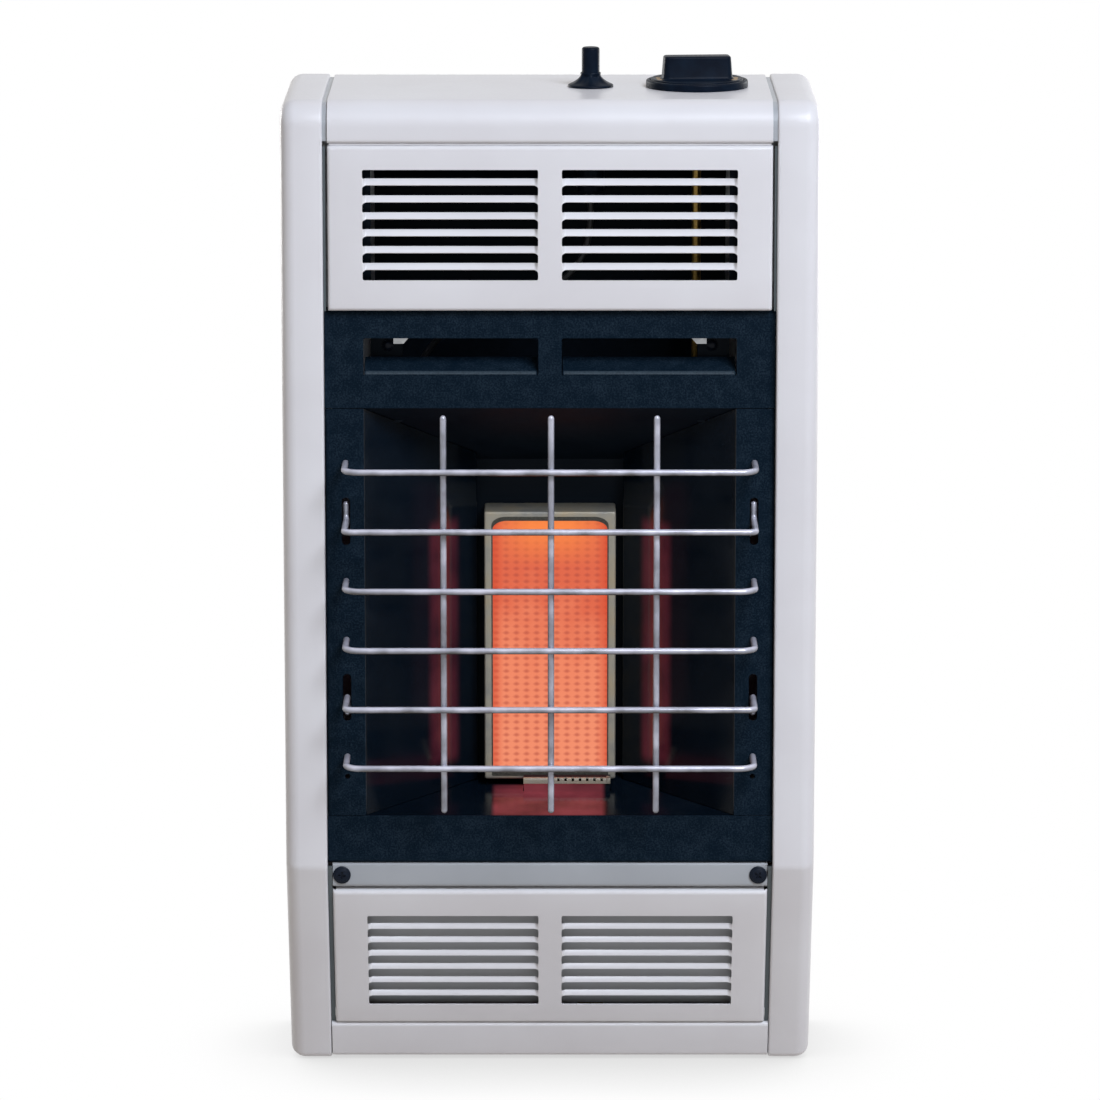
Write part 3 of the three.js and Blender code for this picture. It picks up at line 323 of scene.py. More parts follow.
def addNode(tree, kind, settings=(), values=(), links=(), stops=()):
    # settings are properties, and stops are a ramp's (position, colour or grey) pairs
    node = tree.nodes.new("ShaderNode" + kind)
    for key, value in dict(settings).items():
        setattr(node, key, value)
    fillNode(tree, node, values, links)
    if stops:
        elements = node.color_ramp.elements
        while len(elements) < len(stops):
            elements.new(0.5)
        for element, (position, colour) in zip(elements, stops):
            element.position = position
            element.color = linear(colour) if isinstance(colour, str) else (colour,) * 3 + (1,)
    return node


def startMaterial(name, **sockets):
    material = bpy.data.materials.new(name)
    material.use_nodes = True
    tree = material.node_tree
    shader = tree.nodes["Principled BSDF"]
    fillNode(tree, shader, {key.replace("_", " "): value for key, value in sockets.items()})
    return material, tree, shader, addNode(tree, "TexCoord").outputs["Object"]


def perMetre(sizeMm):
    # a texture scale whose features are about this many millimetres wide
    return 1 / (sizeMm * mm)


def grained(name, tones, patch, grain=(), rough=(), haze=None, **sockets):
    # patch is the (mm, detail) of the noise that picks the tones, and grain the (mm, detail,
    # depth in mm, strength) of the bump's noise; the roughness follows the last of the two.
    # A haze is light on the surface: a colour within a range of each axis, with soft ends
    material, tree, shader, place = startMaterial(name, **sockets)
    noises = [addNode(tree, "TexNoise", (), {"Scale": perMetre(noise[0]), "Detail": noise[1]},
                      {"Vector": place}) for noise in (patch, grain) if noise]
    links = {"Base Color": addNode(tree, "ValToRGB", links={"Fac": noises[0]}, stops=tones)}
    if rough:
        links["Roughness"] = addNode(tree, "ValToRGB", links={"Fac": noises[-1]}, stops=rough)
    if grain:
        links["Normal"] = addNode(tree, "Bump", (), {"Distance": grain[2] * mm, "Strength": grain[3]},
                                  {"Height": noises[-1]})
    if haze:
        share, axes = noises[0], addNode(tree, "SeparateXYZ", links={"Vector": place}).outputs
        for axis, (low, high, soft) in haze["ranges"].items():
            for none, full in ((low - soft, low), (high + soft, high)):
                rise = addNode(tree, "MapRange", {"interpolation_type": "SMOOTHSTEP"},
                               {"From Min": none * mm, "From Max": full * mm}, {"Value": axes[axis]})
                share = addNode(tree, "Math", {"operation": "MULTIPLY"}, links={0: share, 1: rise})
        shader.inputs["Emission Color"].default_value = linear(haze["colour"])
        links["Emission Strength"] = share
    fillNode(tree, shader, links=links)
    return material


def enamelled(name, light, shade):
    # baked enamel on pressed steel: smooth, satin, with the faint orange peel of sprayed paint
    return grained(name, [(0.35, shade), (0.7, light)], (70, 3), (1.6, 2, 0.02, 0.5),
                   [(0.3, 0.3), (0.7, 0.38)], Roughness=0.34, Specular_IOR_Level=0.42)


def vitreousBlack(name, gloss, low, high, haze=None):
    # black vitreous enamel, fired at high heat: glossy enough to mirror the burner, or dulled
    # by soot; its roughness runs from low to high in soft waves
    return grained(name, [(0.4, "#06101a"), (0.75, "#0a141d")], (26, 3), (), [(0.3, low), (0.7, high)],
                   haze, Roughness=low, Specular_IOR_Level=gloss)


def plainMetal(name, light, dark, roughness, grainMm):
    # cast, turned or drawn metal: two tones mixed by its grain, with a bump of the same grain
    return grained(name, [(0.3, dark), (0.7, light)], (grainMm, 4), (grainMm, 4, 0.04, 0.4),
                   Metallic=1.0, Roughness=roughness)


def softMatter(name, light, dark, roughness, grainMm, depthMm, gloss=0.5):
    # fibre, rubber, print or a dull coat: two tones and a grain
    return grained(name, [(0.3, dark), (0.7, light)], (grainMm, 5), (grainMm, 5, depthMm, 0.5),
                   Roughness=roughness, Specular_IOR_Level=gloss)


def wrinkleBlack():
    # black wrinkle coat: matt, with fine ridges; painted highlight: the ridges' tops are coloured
    # paler, as specks of caught light
    look = {"base": "#04131f", "ridge_glint": "#1e2c38", "ridge": 1.1, "patch": 9, "depth": 0.12}
    material, tree, shader, place = startMaterial(
        "wrinkle_coat", Roughness=0.7, Specular_IOR_Level=0.05)
    ridge = addNode(tree, "TexNoise", (), {"Scale": perMetre(look["ridge"]), "Detail": 4,
                    "Roughness": 0.65}, {"Vector": place})
    patch = addNode(tree, "TexNoise", (), {"Scale": perMetre(look["patch"]), "Detail": 2},
                    {"Vector": place})
    both = addNode(tree, "Math", {"operation": "MULTIPLY_ADD"}, {1: 0.35}, {0: patch, 2: ridge})
    fillNode(tree, shader, links={
        "Base Color": addNode(tree, "ValToRGB", links={"Fac": both},
                              stops=[(0.62, look["base"]), (0.9, look["ridge_glint"])]),
        "Normal": addNode(tree, "Bump", (), {"Distance": look["depth"] * mm, "Strength": 0.55},
                          {"Height": ridge})})
    return material


def aluminisedSteel():
    # sheet steel dipped in aluminium: dull, with the feathered grains of the coating
    look = {"light": "#acaeb0", "dark": "#9d9fa2", "grain": 4.5}
    material, tree, shader, place = startMaterial("aluminised_steel", Metallic=1.0, Roughness=0.42)
    grain = addNode(tree, "TexVoronoi", (), {"Scale": perMetre(look["grain"]), "Randomness": 1.0},
                    {"Vector": place}).outputs["Color"]
    for socket, low, high in (("Base Color", look["dark"], look["light"]), ("Roughness", 0.46, 0.4)):
        tones = addNode(tree, "ValToRGB", links={"Fac": grain}, stops=[(0.2, low), (0.8, high)])
        fillNode(tree, shader, links={socket: tones})
    return material


def platedWire():
    # bright nickel plate over drawn wire, with faint drawing marks; painted light and shade: the
    # colour runs from dark on the underside to light on the upper side, by how far the surface faces
    # up, with a faint cloud
    look = {"bright": "#cfd0dd", "plain": "#9496a0", "shaded_underside": "#4c4a48", "mark": 0.5, "cloud": 18,
            "depth": 0.01}
    material, tree, shader, place = startMaterial("nickel_plate", Metallic=0.3, Roughness=0.25)
    normal = addNode(tree, "NewGeometry").outputs["Normal"]
    upward = addNode(tree, "SeparateXYZ", links={"Vector": normal}).outputs["Z"]
    cloud = addNode(tree, "TexNoise", (), {"Scale": perMetre(look["cloud"]), "Detail": 3},
                    {"Vector": place})
    side = addNode(tree, "Math", {"operation": "MULTIPLY_ADD"}, {1: 0.4}, {0: upward, 2: cloud})
    mark = addNode(tree, "TexNoise", (), {"Scale": perMetre(look["mark"])}, {"Vector": place})
    fillNode(tree, shader, links={
        "Base Color": addNode(tree, "ValToRGB", links={"Fac": side}, stops=[
            (0.15, look["shaded_underside"]), (0.5, look["plain"]), (0.85, look["bright"])]),
        "Normal": addNode(tree, "Bump", (), {"Distance": look["depth"] * mm, "Strength": 0.3},
                          {"Height": mark})})
    return material


def glowingCeramic(plaque):
    # perforated cordierite plaque in use: each dimple shows as a darker spot, and the face runs
    # from deep orange at the top to a paler orange at the foot; it is redder along its sides
    # and yellow along its top edge
    look = {"top": "#df684a", "middle": "#ef8663", "foot": "#f3916e", "spot": "#b04c40",
            "side": "#d2472c", "crest": "#ff8c46", "cold": "#24100c", "cloud": 24}
    material, tree, shader, place = startMaterial(
        "cordierite", Roughness=0.9, Specular_IOR_Level=0.1, Emission_Strength=1.0,
        Base_Color=linear(look["cold"]))
    axes = addNode(tree, "SeparateXYZ", links={"Vector": place}).outputs
    half, low, high = plaque["windowHalf"], plaque["windowFoot"] + baseZ, plaque["windowTop"] + baseZ
    waves = []
    for axis, pitch, shift in (("X", plaque["columnPitch"], plaque["columnShift"]),
                               ("Z", plaque["rowPitch"], 0)):
        # a cosine of the ports' pitch along each axis
        angle = addNode(tree, "Math", {"operation": "MULTIPLY_ADD"}, {
            1: 2 * math.pi / (pitch * mm), 2: -2 * math.pi * shift / pitch}, {0: axes[axis]})
        waves.append(addNode(tree, "Math", {"operation": "COSINE"}, links={0: angle}))
    ports = addNode(tree, "Math", {"operation": "ADD"}, links=dict(enumerate(waves)))
    away = addNode(tree, "Math", {"operation": "ABSOLUTE"}, links={0: axes["X"]})
    dimple, rise, beside, crest, inward = [
        addNode(tree, "MapRange", (), {"From Min": start, "From Max": end, "To Min": least,
                "To Max": most}, {"Value": source})
        for source, start, end, least, most in (
            (ports, -0.1, 2.0, 0, 0.62), (axes["Z"], low * mm, high * mm, 0, 1),
            (away, (half - 7) * mm, half * mm, 0, 0.7),
            (axes["Z"], (high - 30) * mm, (high - 5) * mm, 0, 0.85),
            (away, half * mm, 12 * mm, 0.15, 1))]
    cloud = addNode(tree, "TexNoise", (), {"Scale": perMetre(look["cloud"]), "Detail": 3},
                    {"Vector": place})
    mixed = addNode(tree, "Math", {"operation": "MULTIPLY_ADD"}, {1: 0.55}, {0: cloud, 2: rise})
    above = addNode(tree, "Math", {"operation": "MULTIPLY"}, links={0: crest, 1: inward})
    face = addNode(tree, "ValToRGB", links={"Fac": mixed}, stops=[
        (0.25, look["foot"]), (0.75, look["middle"]), (1.0, look["top"])])
    for colour, share in (("spot", dimple), ("crest", above), ("side", beside)):
        face = addNode(tree, "Mix", {"data_type": "RGBA"}, {"B": linear(look[colour])},
                       {"A": face, "Factor": share}).outputs["Result"]
    fillNode(tree, shader, links={"Emission Color": face})
    return material


enamel = enamelled("baked_enamel", "#d5d6d8", "#d0d0d2")
# a darker grey enamel for the rail; on the seam lap and on the sheet behind the lower slots it is
# painted shade
greyAndShadeEnamel = enamelled("grey_enamel_and_painted_shade", "#9fa4a8", "#989da1")
# painted shade for the gaps beside the panels
gapShadeEnamel = enamelled("gap_shade_enamel", "#4c5659", "#485154")
blackCoat = wrinkleBlack()
# dull black vitreous enamel; on the heat shield and the sheet beside it, it is painted shade
sootAndShadeCoat = vitreousBlack("sooted_enamel_and_painted_shade", 0.08, 0.5, 0.65)
# the burner's light on the sides and on the floor of the cavity
sideHaze = {"colour": "#561c26", "ranges": {"Y": (-94, -81, 6), "Z": (baseZ + 199, baseZ + 345, 10)}}
floorHaze = {"colour": "#8e3a42", "ranges": {"X": (-34, 32, 4), "Y": (-139, -80, 6)}}
litSideCoat = vitreousBlack("vitreous_enamel_side", 0.5, 0.07, 0.14, sideHaze)
litFloorCoat = vitreousBlack("vitreous_enamel_floor", 0.1, 0.12, 0.2, floorHaze)
coatedSteel = aluminisedSteel()
wirePlate = platedWire()
# bare sheet steel beside the flame: straw and grey oxide tints
hotSteel = grained("heat_tinted_steel", [(0.3, "#84847e"), (0.5, "#979385"), (0.72, "#a1957c")],
                   (14, 4), (0.7, 3, 0.03, 0.5), Metallic=0.35, Roughness=0.46)
brass = plainMetal("turned_brass", "#a98c4e", "#806636", 0.34, 1.2)
castAluminium = plainMetal("die_cast_aluminium", "#a9abad", "#8e9092", 0.5, 1.0)
drawnAluminium = plainMetal("drawn_aluminium", "#c3c5c8", "#a5a8ab", 0.32, 0.8)
springSteel = plainMetal("zinc_plated_steel", "#aeb1b6", "#8a8d93", 0.35, 0.8)
copper = plainMetal("copper_capillary", "#b8754e", "#8c5236", 0.38, 0.8)
screwBlack = softMatter("black_oxide_steel", "#101a28", "#080f1a", 0.4, 0.7, 0.03, 0.12)
# painted shade: a dark grey steel for the band round the burner's window
shadeBandSteel = softMatter("painted_shade_steel", "#4b4b43", "#32322d", 0.6, 1.2, 0.02, 0.2)
# worn coat and painted highlight, for the header's lip
wornAndSheenCoat = softMatter("worn_coat_and_painted_sheen", "#2f3d47", "#1b2831", 0.6, 1.3, 0.05, 0.2)
# moulded phenolic plastic: near black, half gloss, with a very fine mould grain
phenolic = grained("phenolic", [(0.4, "#040d1a"), (0.75, "#0b1826")], (11, 3), (0.6, 2, 0.02, 0.4),
                   Roughness=0.4, Specular_IOR_Level=0.06)
gasketFibre = softMatter("ceramic_fibre", "#e6dfd0", "#c6bda9", 0.95, 1.2, 0.05)
leadRubber = softMatter("silicone_lead", "#191a1d", "#0d0e10", 0.5, 0.8, 0.02)
glaze = softMatter("glazed_alumina", "#f0ece2", "#ddd7c8", 0.22, 2.5, 0.01)
markPaint = softMatter("pad_print", "#a08a6c", "#8d7a60", 0.7, 1.0, 0.01)
print("materials made")

casing = {
    "sheet": 1.2, "edgeRadius": 9, "topRadius": 16, "footRadius": 6, "bendRadius": 12, "seam": 3,
    "rim": 8, "rimBend": 1.6, "footRim": 6, "bend": 140, "slope": math.radians(22),
    "lapDepth": 1.55, "lapTall": 24.5, "lapWide": 8, "bandTall": 25.7,
}
sides = {"right": 1, "left": -1}
sideLow, sideHigh = nodeBox("right_side_panel")
headerLow, headerHigh = nodeBox("surround_header")
columnLow, columnHigh = nodeBox("surround_right")
sillLow, sillHigh = nodeBox("surround_sill")
half, front, height = sideHigh[0], sideLow[1], sideHigh[2]
panelHalf = nodeBox("top_panel")[1][0]
sheet, bend, seam = casing["sheet"], casing["bend"], casing["seam"]
stripInner = panelHalf + seam
bandFoot = height - casing["bandTall"]
sine, cosine = math.sin(casing["slope"]), math.cos(casing["slope"])
inside = (0, -70, 320)


def insetPath(distance):
    # the casing's end seen from the side, from the wall's foot round the front to the wall's top,
    # moved inwards: each corner slides along the line that halves its angle
    foot, fold, top = (max(casing[key] - distance, 0.5)
                       for key in ("footRadius", "bendRadius", "topRadius"))
    return roundedLine([
        (0, distance), (front + (distance + (bend - distance) * sine) / cosine, distance, foot),
        (front + distance, bend + distance * (1 - cosine) / sine, fold),
        (front + distance, height - distance, top), (0, height - distance)], 10)


def makeSidePanel():
    # a pressed side: a rim, a small bend, the strip, a round edge and the flat cheek; a row of
    # the grid is the end's outline at one (distance inwards, x) of this section
    small, edge = casing["rimBend"], casing["edgeRadius"]
    section = [(casing["rim"], stripInner)]
    section += [(small - small * math.sin(a), stripInner + small - small * math.cos(a))
                for a in np.linspace(0, math.pi / 2, 5)]
    section += [(edge - edge * math.cos(a), half - edge + edge * math.sin(a))
                for a in np.linspace(0, math.pi / 2, 8)]
    points = np.stack([np.insert(insetPath(max(distance, 0)), 0, x, axis=1)
                       for distance, x in section])
    rows, cols = points.shape[:2]
    keep = np.ones((rows - 1, cols - 1), bool)
    keep[0] = points[0, :-1, 1] < front + bend * math.tan(casing["slope"]) + casing["footRim"]
    keep[0] |= points[0, :-1, 2] > bend
    cheek = list(range((rows - 1) * cols, rows * cols))
    return points.reshape(-1, 3), gridQuads(rows, cols, keep) + [cheek]


def makeSeamLap():
    # the strip that lies behind the seam, one sheet deeper than the panel over it: from the
    # wall's side over the top and down behind the band
    deep = casing["lapDepth"]
    line = roundedLine([(-4, height - deep), (front + deep, height - deep, casing["topRadius"] - deep),
                        (front + deep, height - casing["lapTall"])], 12)
    return carried(line, 0, [stripInner - casing["lapWide"], stripInner + sheet])


addPair("side", makeSidePanel(), enamel, "{}_side_panel", inside, wall=sheet, bevel=0.3)
# painted shade: the lap takes the darker grey enamel for the shade in the seam
addPair("seam_lap", makeSeamLap(), greyAndShadeEnamel, "", inside, wall=sheet, bevel=0.2)
knobAt = (92.2, -70.0)
igniterAt = (25.5, -70.0)


def makeTopPanel():
    # rear flange, top, round front edge, band and the return below it, carried across
    line = roundedLine([(-1.5, height - 14), (-1.5, height, 3), (front, height, casing["topRadius"]),
                        (front, bandFoot, 2.4), (front + 8, bandFoot)], 16)
    return carried(line, 0, [-panelHalf, panelHalf])


topCuts = [prism(disc(*at, radius), 2, height - 4, height + 1)
           for at, radius in ((knobAt, 4), (igniterAt, 9.3))]
addPiece("casing_top", makeTopPanel(), enamel, ["top_panel"], inside, wall=sheet, cuts=topCuts,
         bevel=0.3)
backing = slab(-panelHalf + 1, panelHalf - 1, bandFoot - 1.45, bandFoot - 0.15)
addPiece("band_backing", prism(backing, 1, front + 2.2, front + 3), enamel, bevel=0.1)
print("casing made")

louvre = {"inner": 7.3, "outer": panelHalf - 21.5, "slots": 7, "tilt": 40, "twist": 2.6,
          "corner": 1.5, "crown": 0.3, "flange": 7, "bend": 2.5, "sideBend": 2.0, "sheet": 1.0}
upperBlade = {"slit": 2.8, "push": 2.5, "lift": 0.44, "pitch": 10.52}
lowerBlade = {"slit": 3.46, "push": 1.5, "lift": -0.14, "pitch": 10.62}


def louvreSheet(bottom, top, first, blade):
    # one sheet on a grid of (across, up): a blade's row at share s of its height is turned about
    # the blade's middle, pushed in and lifted, all by a smooth step of the distance from the
    # slot's end; a slit opens as a flattened quarter oval there, and its cells are left out
    inner, outer, twist, pitch = louvre["inner"], louvre["outer"], louvre["twist"], blade["pitch"]
    fold, sideFold, flange = louvre["bend"], louvre["sideBend"], louvre["flange"]
    arc = np.linspace(0, math.pi / 2, 6)
    ends = twist * np.array([0, 0.006, 0.03, 0.08, 0.16, 0.26, 0.38, 0.5, 0.62, 0.75, 0.88, 1])
    slotX = np.concatenate([inner + ends, [(inner + outer) / 2], (outer - ends)[::-1]])
    halfX = np.concatenate([slotX, panelHalf - sideFold + sideFold * np.sin(arc), [panelHalf]])
    halfDeep = np.concatenate([0 * slotX, sideFold - sideFold * np.cos(arc), [flange]])
    x = np.concatenate([-halfX[::-1], halfX])
    sideDeep = np.concatenate([halfDeep[::-1], halfDeep])
    fromEnd = np.minimum(np.abs(x) - inner, outer - np.abs(x))
    opening = blade["slit"] * (1 - (1 - np.clip(fromEnd / louvre["corner"], 0, 1)) ** 4) ** 0.25
    ease = smoothStep(fromEnd / twist)
    angle = math.radians(louvre["tilt"]) * ease
    rows = [(top, flange)]
    rows += [(top - fold + fold * math.sin(a), fold - fold * math.cos(a)) for a in arc[::-1]]
    rows.append((first + opening, 0))
    slitRows = [len(rows) - 1]
    for i in range(louvre["slots"] - 1):
        centre = first - (i + 0.5) * pitch + blade["lift"] * ease
        for s in np.linspace(1, -1, 7):
            reach = s * (pitch / 2 - opening)
            crown = louvre["crown"] * (1 - s * s) * ease
            rows.append((centre + reach * np.cos(angle) + crown * np.sin(angle),
                         blade["push"] * ease + reach * np.sin(angle) - crown * np.cos(angle)))
        slitRows.append(len(rows) - 1)
    rows.append((first - (louvre["slots"] - 1) * pitch - opening, 0))
    rows += [(bottom + fold - fold * math.sin(a), fold - fold * math.cos(a)) for a in arc]
    rows.append((bottom, flange))
    z, y = (np.array([value + 0 * x for value in values]) for values in zip(*rows))
    keep = np.ones((len(rows) - 1, len(x) - 1), bool)
    keep[slitRows] = False
    # no cell where a flange meets a round side, or the outer flange a round edge
    rounding = np.maximum(sideDeep[:-1], sideDeep[1:]) > 0
    keep[0, rounding] = keep[-1, rounding] = False
    folded = np.maximum(y[:-1].min(1), y[1:].min(1)) > 1e-6
    keep[np.ix_(folded, [0, -1])] = False
    grid = np.stack([np.broadcast_to(x, y.shape), y + sideDeep, z], -1)
    return grid.reshape(-1, 3), gridQuads(*y.shape, keep)


def onFront(surface):
    # moved out to the front's plane
    verts, faces = surface
    return verts + [0, front, 0], faces


def onChin(surface):
    # turned about the fold line so that the sheet leans back towards its foot
    verts, faces = surface
    x, deep, up = verts.T
    return np.stack([x, front + deep * cosine - up * sine, bend + deep * sine + up * cosine], 1), faces


chinFoot = -bend / cosine
gapMiddle = panelHalf + seam / 2
upperLouvre = louvreSheet(headerHigh[2] + 0.4, bandFoot - 1.6, height - 44.9, upperBlade)
lowerLouvre = louvreSheet(chinFoot + 28, -18.6, -40.9, lowerBlade)
addPiece("louvre_upper", onFront(upperLouvre), enamel, ["upper_louvre_panel"], inside,
         wall=louvre["sheet"], bevel=0.2)
addPiece("louvre_lower", onChin(lowerLouvre), enamel, ["lower_louvre_panel"], (0, -40, 120),
         wall=louvre["sheet"], bevel=0.2)
# painted shade: grey strips stand behind the gaps beside the panels, a grey sheet behind the lower
# slots, and a black one beside the heat shield, for the shade in these gaps and slots
upper = slab(gapMiddle - 0.2, gapMiddle + 1.3, headerHigh[2], bandFoot - 2, 0.3, 3)
lower = slab(gapMiddle - 1.3, gapMiddle + 1.3, chinFoot + 2, -1, 0.3, 3)
addPair("gap_strip", together(prism(upper, 1, front + 3, front + 4), onChin(prism(lower, 1, 3, 4))),
        gapShadeEnamel, bevel=0.1)
behind = slab(louvre["inner"] - 3, louvre["outer"] + 3, -112, -34, 2, 4)
addPair("louvre_backing", onChin(prism(behind, 1, 7.5, 8.3)), greyAndShadeEnamel, bevel=0.1)
wing = slab(nodeBox("heat_shield")[1][0] - 1, panelHalf - 4, headerHigh[2] + 8, bandFoot - 6, 2, 4)
addPair("shield_wing", prism(wing, 1, front + 12.5, front + 13.3), sootAndShadeCoat, bevel=0.1)
print("louvre panels made")

blackFace, blackHalf = headerLow[1], headerHigh[0]
rail = {"face": blackFace + 1, "depth": 16, "tall": 15.8, "top": sillLow[2] - 0.3, "bend": 2.2,
        "screwX": panelHalf - 5.9, "screwDrop": 8}
railBottom, railBack = rail["top"] - rail["tall"], rail["face"] + rail["depth"]
railLine = roundedLine([(railBack, rail["top"]), (rail["face"], rail["top"], rail["bend"]),
                        (rail["face"], railBottom, rail["bend"]), (railBack, railBottom)], 6)
addPiece("rail_lower", carried(railLine, 0, [-panelHalf, panelHalf]), greyAndShadeEnamel, ["lower_rail"],
         (0, -100, railBottom + 8), wall=sheet)


def makeScrew(x, z, face, radius=5.6):
    # a pan head turned about the depth axis: a washer ring, then a domed head
    profile = [(0.0, 0), (radius, 0), (radius, -0.9), (radius - 0.35, -1.2), (radius * 0.8, -1.35),
               (radius * 0.78, -1.7), (radius * 0.6, -2.15), (radius * 0.32, -2.4), (0.0, -2.42)]
    verts, faces = turned(profile, 0, 0, 40)
    return verts[:, [0, 2, 1]] + [x, face, z], faces


def crossRecess(x, z, face, turn, arm=2.4, wide=0.55):
    # a plus sign of four arms, turned about the screw's axis
    quarter = np.array([(arm, -wide), (arm, wide), (wide, wide)])
    arms = [quarter @ spun(turn + k * math.pi / 2) for k in range(4)]
    return prism(np.vstack(arms) + [x, z], 1, face - 4, face - 1.25)


for word, side in sides.items():
    x, z = side * rail["screwX"], rail["top"] - rail["screwDrop"]
    addPiece(f"screw_{word}", makeScrew(x, z, rail["face"] - 0.05), screwBlack, [f"rail_screw_{word}"],
             cuts=[crossRecess(x, z, rail["face"], 0.4 + 0.5 * side)], bevel=0.12)


pan = {"strip": 27.5, "flange": 7, "lift": 1.5, "rear": -10.3, "lip": 14, "inlet": (26.0, -62.0, 9.2)}
slopeFoot = front + bend * math.tan(casing["slope"])


def makeBasePan():
    # the strip below the lower louvres, the floor and the rear lip in one bent sheet
    stripTop, flange, lift, rear = pan["strip"] * cosine, pan["flange"], pan["lift"], pan["rear"]
    near, foot = (slopeFoot - z * math.tan(casing["slope"]) for z in (stripTop, lift))
    line = roundedLine([(near + flange * cosine, stripTop + flange * sine), (near, stripTop, 2.4),
                        (foot, lift, 4), (rear, lift, 2.4), (rear, pan["lip"])], 6)
    return carried(line, 0, [-blackHalf, blackHalf])


inletHole = prism(disc(*pan["inlet"]), 2, 0, 5)
addPiece("pan", makeBasePan(), enamel, ["base_pan"], (0, -50, 20), wall=sheet, cuts=[inletHole])
panWing = slab(blackHalf + 0.05, half - casing["edgeRadius"], slopeFoot + 9, pan["rear"] - 2, 0.8, 3)
addPair("pan_wing", prism(panWing, 2, pan["lift"], pan["lift"] + sheet), enamel, bevel=0.2)

opening = {"top": headerLow[2], "foot": sillHigh[2], "half": columnLow[0]}
slot = {"top": 477.0, "foot": 454.4, "rise": math.radians(19.4), "reach": 20.6, "lip": 2.4}
slotX = [louvre["inner"], opening["half"]]
headerLine = roundedLine([(blackFace + 14, headerHigh[2]), (blackFace, headerHigh[2], 2.2),
                          (blackFace, opening["top"])], 6)
slotCut = prism(slab(*slotX, slot["foot"] - 1, slot["top"], 1.2, 4), 1, blackFace - 2, blackFace + 3)
addPiece("header", carried(headerLine, 0, [-blackHalf, blackHalf]), blackCoat, ["surround_header"],
         (0, -100, 440), wall=sheet, cuts=[mirrored(slotCut), slotCut], bevel=0.3)


def makeFlap():
    # below each slot the sheet rolls in over a lip and rises into the heater
    lip, rise, reach = slot["foot"] + sheet, slot["rise"], slot["reach"]
    line = roundedLine([(blackFace + reach * math.cos(rise), lip + reach * math.sin(rise)),
                        (blackFace, lip, slot["lip"]), (blackFace, slot["foot"] - 1.1)], 8)
    return carried(line, 0, [slotX[0] + 0.6, slotX[1] - 0.6])


def makeLipWear():
    # worn coat and painted highlight on the lip: a thin, paler strip a hair outside the lip's arc
    arc = np.radians(np.linspace(12, 74, 9))
    centre = np.array([blackFace + slot["lip"], slot["foot"] + sheet - 1.7])
    line = centre + (slot["lip"] + 0.07) * np.stack([-np.cos(arc), np.sin(arc)], 1)
    return carried(line, 0, np.linspace(slotX[0] + 1.4, slotX[1] - 1.4, 3))


flapInside = (sum(slotX) / 2, blackFace + 12, slot["foot"] - 20)
addPair("header_flap", makeFlap(), blackCoat, "", flapInside, wall=sheet, bevel=0.3)
addPair("lip_wear_and_sheen", makeLipWear(), wornAndSheenCoat, "", flapInside, wall=0.2, bevel=0)

barLow = nodeBox("guard_bar_1")[0]
guardWire = {"radius": 2.0, "y": barLow[1] + 2.0, "bend": 10, "hookBend": 4.5, "hookRise": 12,
             "end": blackHalf - 12.6, "pitch": 37.5, "uprights": (-66, 0.6, 66), "hooked": (1, 4)}
barHeights = [barLow[2] + 2 - guardWire["pitch"] * i for i in range(6)]
columnLine = roundedLine([(opening["half"], blackFace), (blackHalf, blackFace, 2.2),
                          (blackHalf, blackFace + 12)], 6)
columnHoles = [slab(guardWire["end"] - 2.6, guardWire["end"] + 2.6, barHeights[i] - 15,
                    barHeights[i] + 15, 2.5, 6) for i in guardWire["hooked"]]
columnHoles.append(disc(guardWire["end"], opening["foot"] + 25.4, 1.6, 20))
addPair("column", carried(columnLine, 2, [columnLow[2], columnHigh[2]]), blackCoat, "surround_{}",
        (110, -100, 300), [prism(hole, 1, blackFace - 2, blackFace + 3) for hole in columnHoles],
        wall=sheet, bevel=0.3)
sillLine = roundedLine([(blackFace, opening["foot"]), (blackFace, sillLow[2], 2.2),
                        (blackFace + 12, sillLow[2])], 6)
addPiece("sill", carried(sillLine, 0, [-blackHalf, blackHalf]), blackCoat, ["surround_sill"],
         (0, -100, 170), wall=sheet, bevel=0.3)
print("surround made")


def makeBar(i):
    # straight across, bent back at both ends, and on two bars hooked behind the column
    end, y, z = guardWire["end"], guardWire["y"], barHeights[i]
    tip, fold = [(blackFace - 2.3, z), (y, z)], guardWire["bend"]
    if i in guardWire["hooked"]:
        hookY = blackFace + sheet + guardWire["radius"] + 0.8
        rise = guardWire["hookRise"] * (1 if i == guardWire["hooked"][0] else -1)
        tip, fold = [(hookY, z + rise * 0.86), (hookY, z), (y, z)], guardWire["hookBend"]
    path = [(end, *place) for place in tip] + [(-end, *place) for place in tip[::-1]]
    return tube(bentPath(path, fold), guardWire["radius"])


def makeUpright(x, low, high):
    # a straight wire with a weld bead against each bar
    r = guardWire["radius"]
    y = guardWire["y"] + 2 * r + 0.3
    bead = np.array([(0.0, -1.7), (1.2, -1.45), (1.8, -0.8), (2.0, 0),
                     (1.8, 0.8), (1.2, 1.45), (0.0, 1.7)])
    beads = [turned(bead + [0, z], x, y - r - 0.15, 14) for z in barHeights]
    return together(tube([(x, y, low + r), (x, y, (low + high) / 2), (x, y, high - r)], r), *beads)


for i in range(6):
    addPiece(f"guard_wire_{i + 1}", makeBar(i), wirePlate, [f"guard_bar_{i + 1}"], bevel=0, crease=60)
for i, x in enumerate(guardWire["uprights"], 1):
    low, high = nodeBox(f"guard_upright_{i}")
    addPiece(f"guard_rod_{i}", makeUpright(x, low[2], high[2]), wirePlate, [f"guard_upright_{i}"],
             bevel=0, crease=60)
print("guard made")

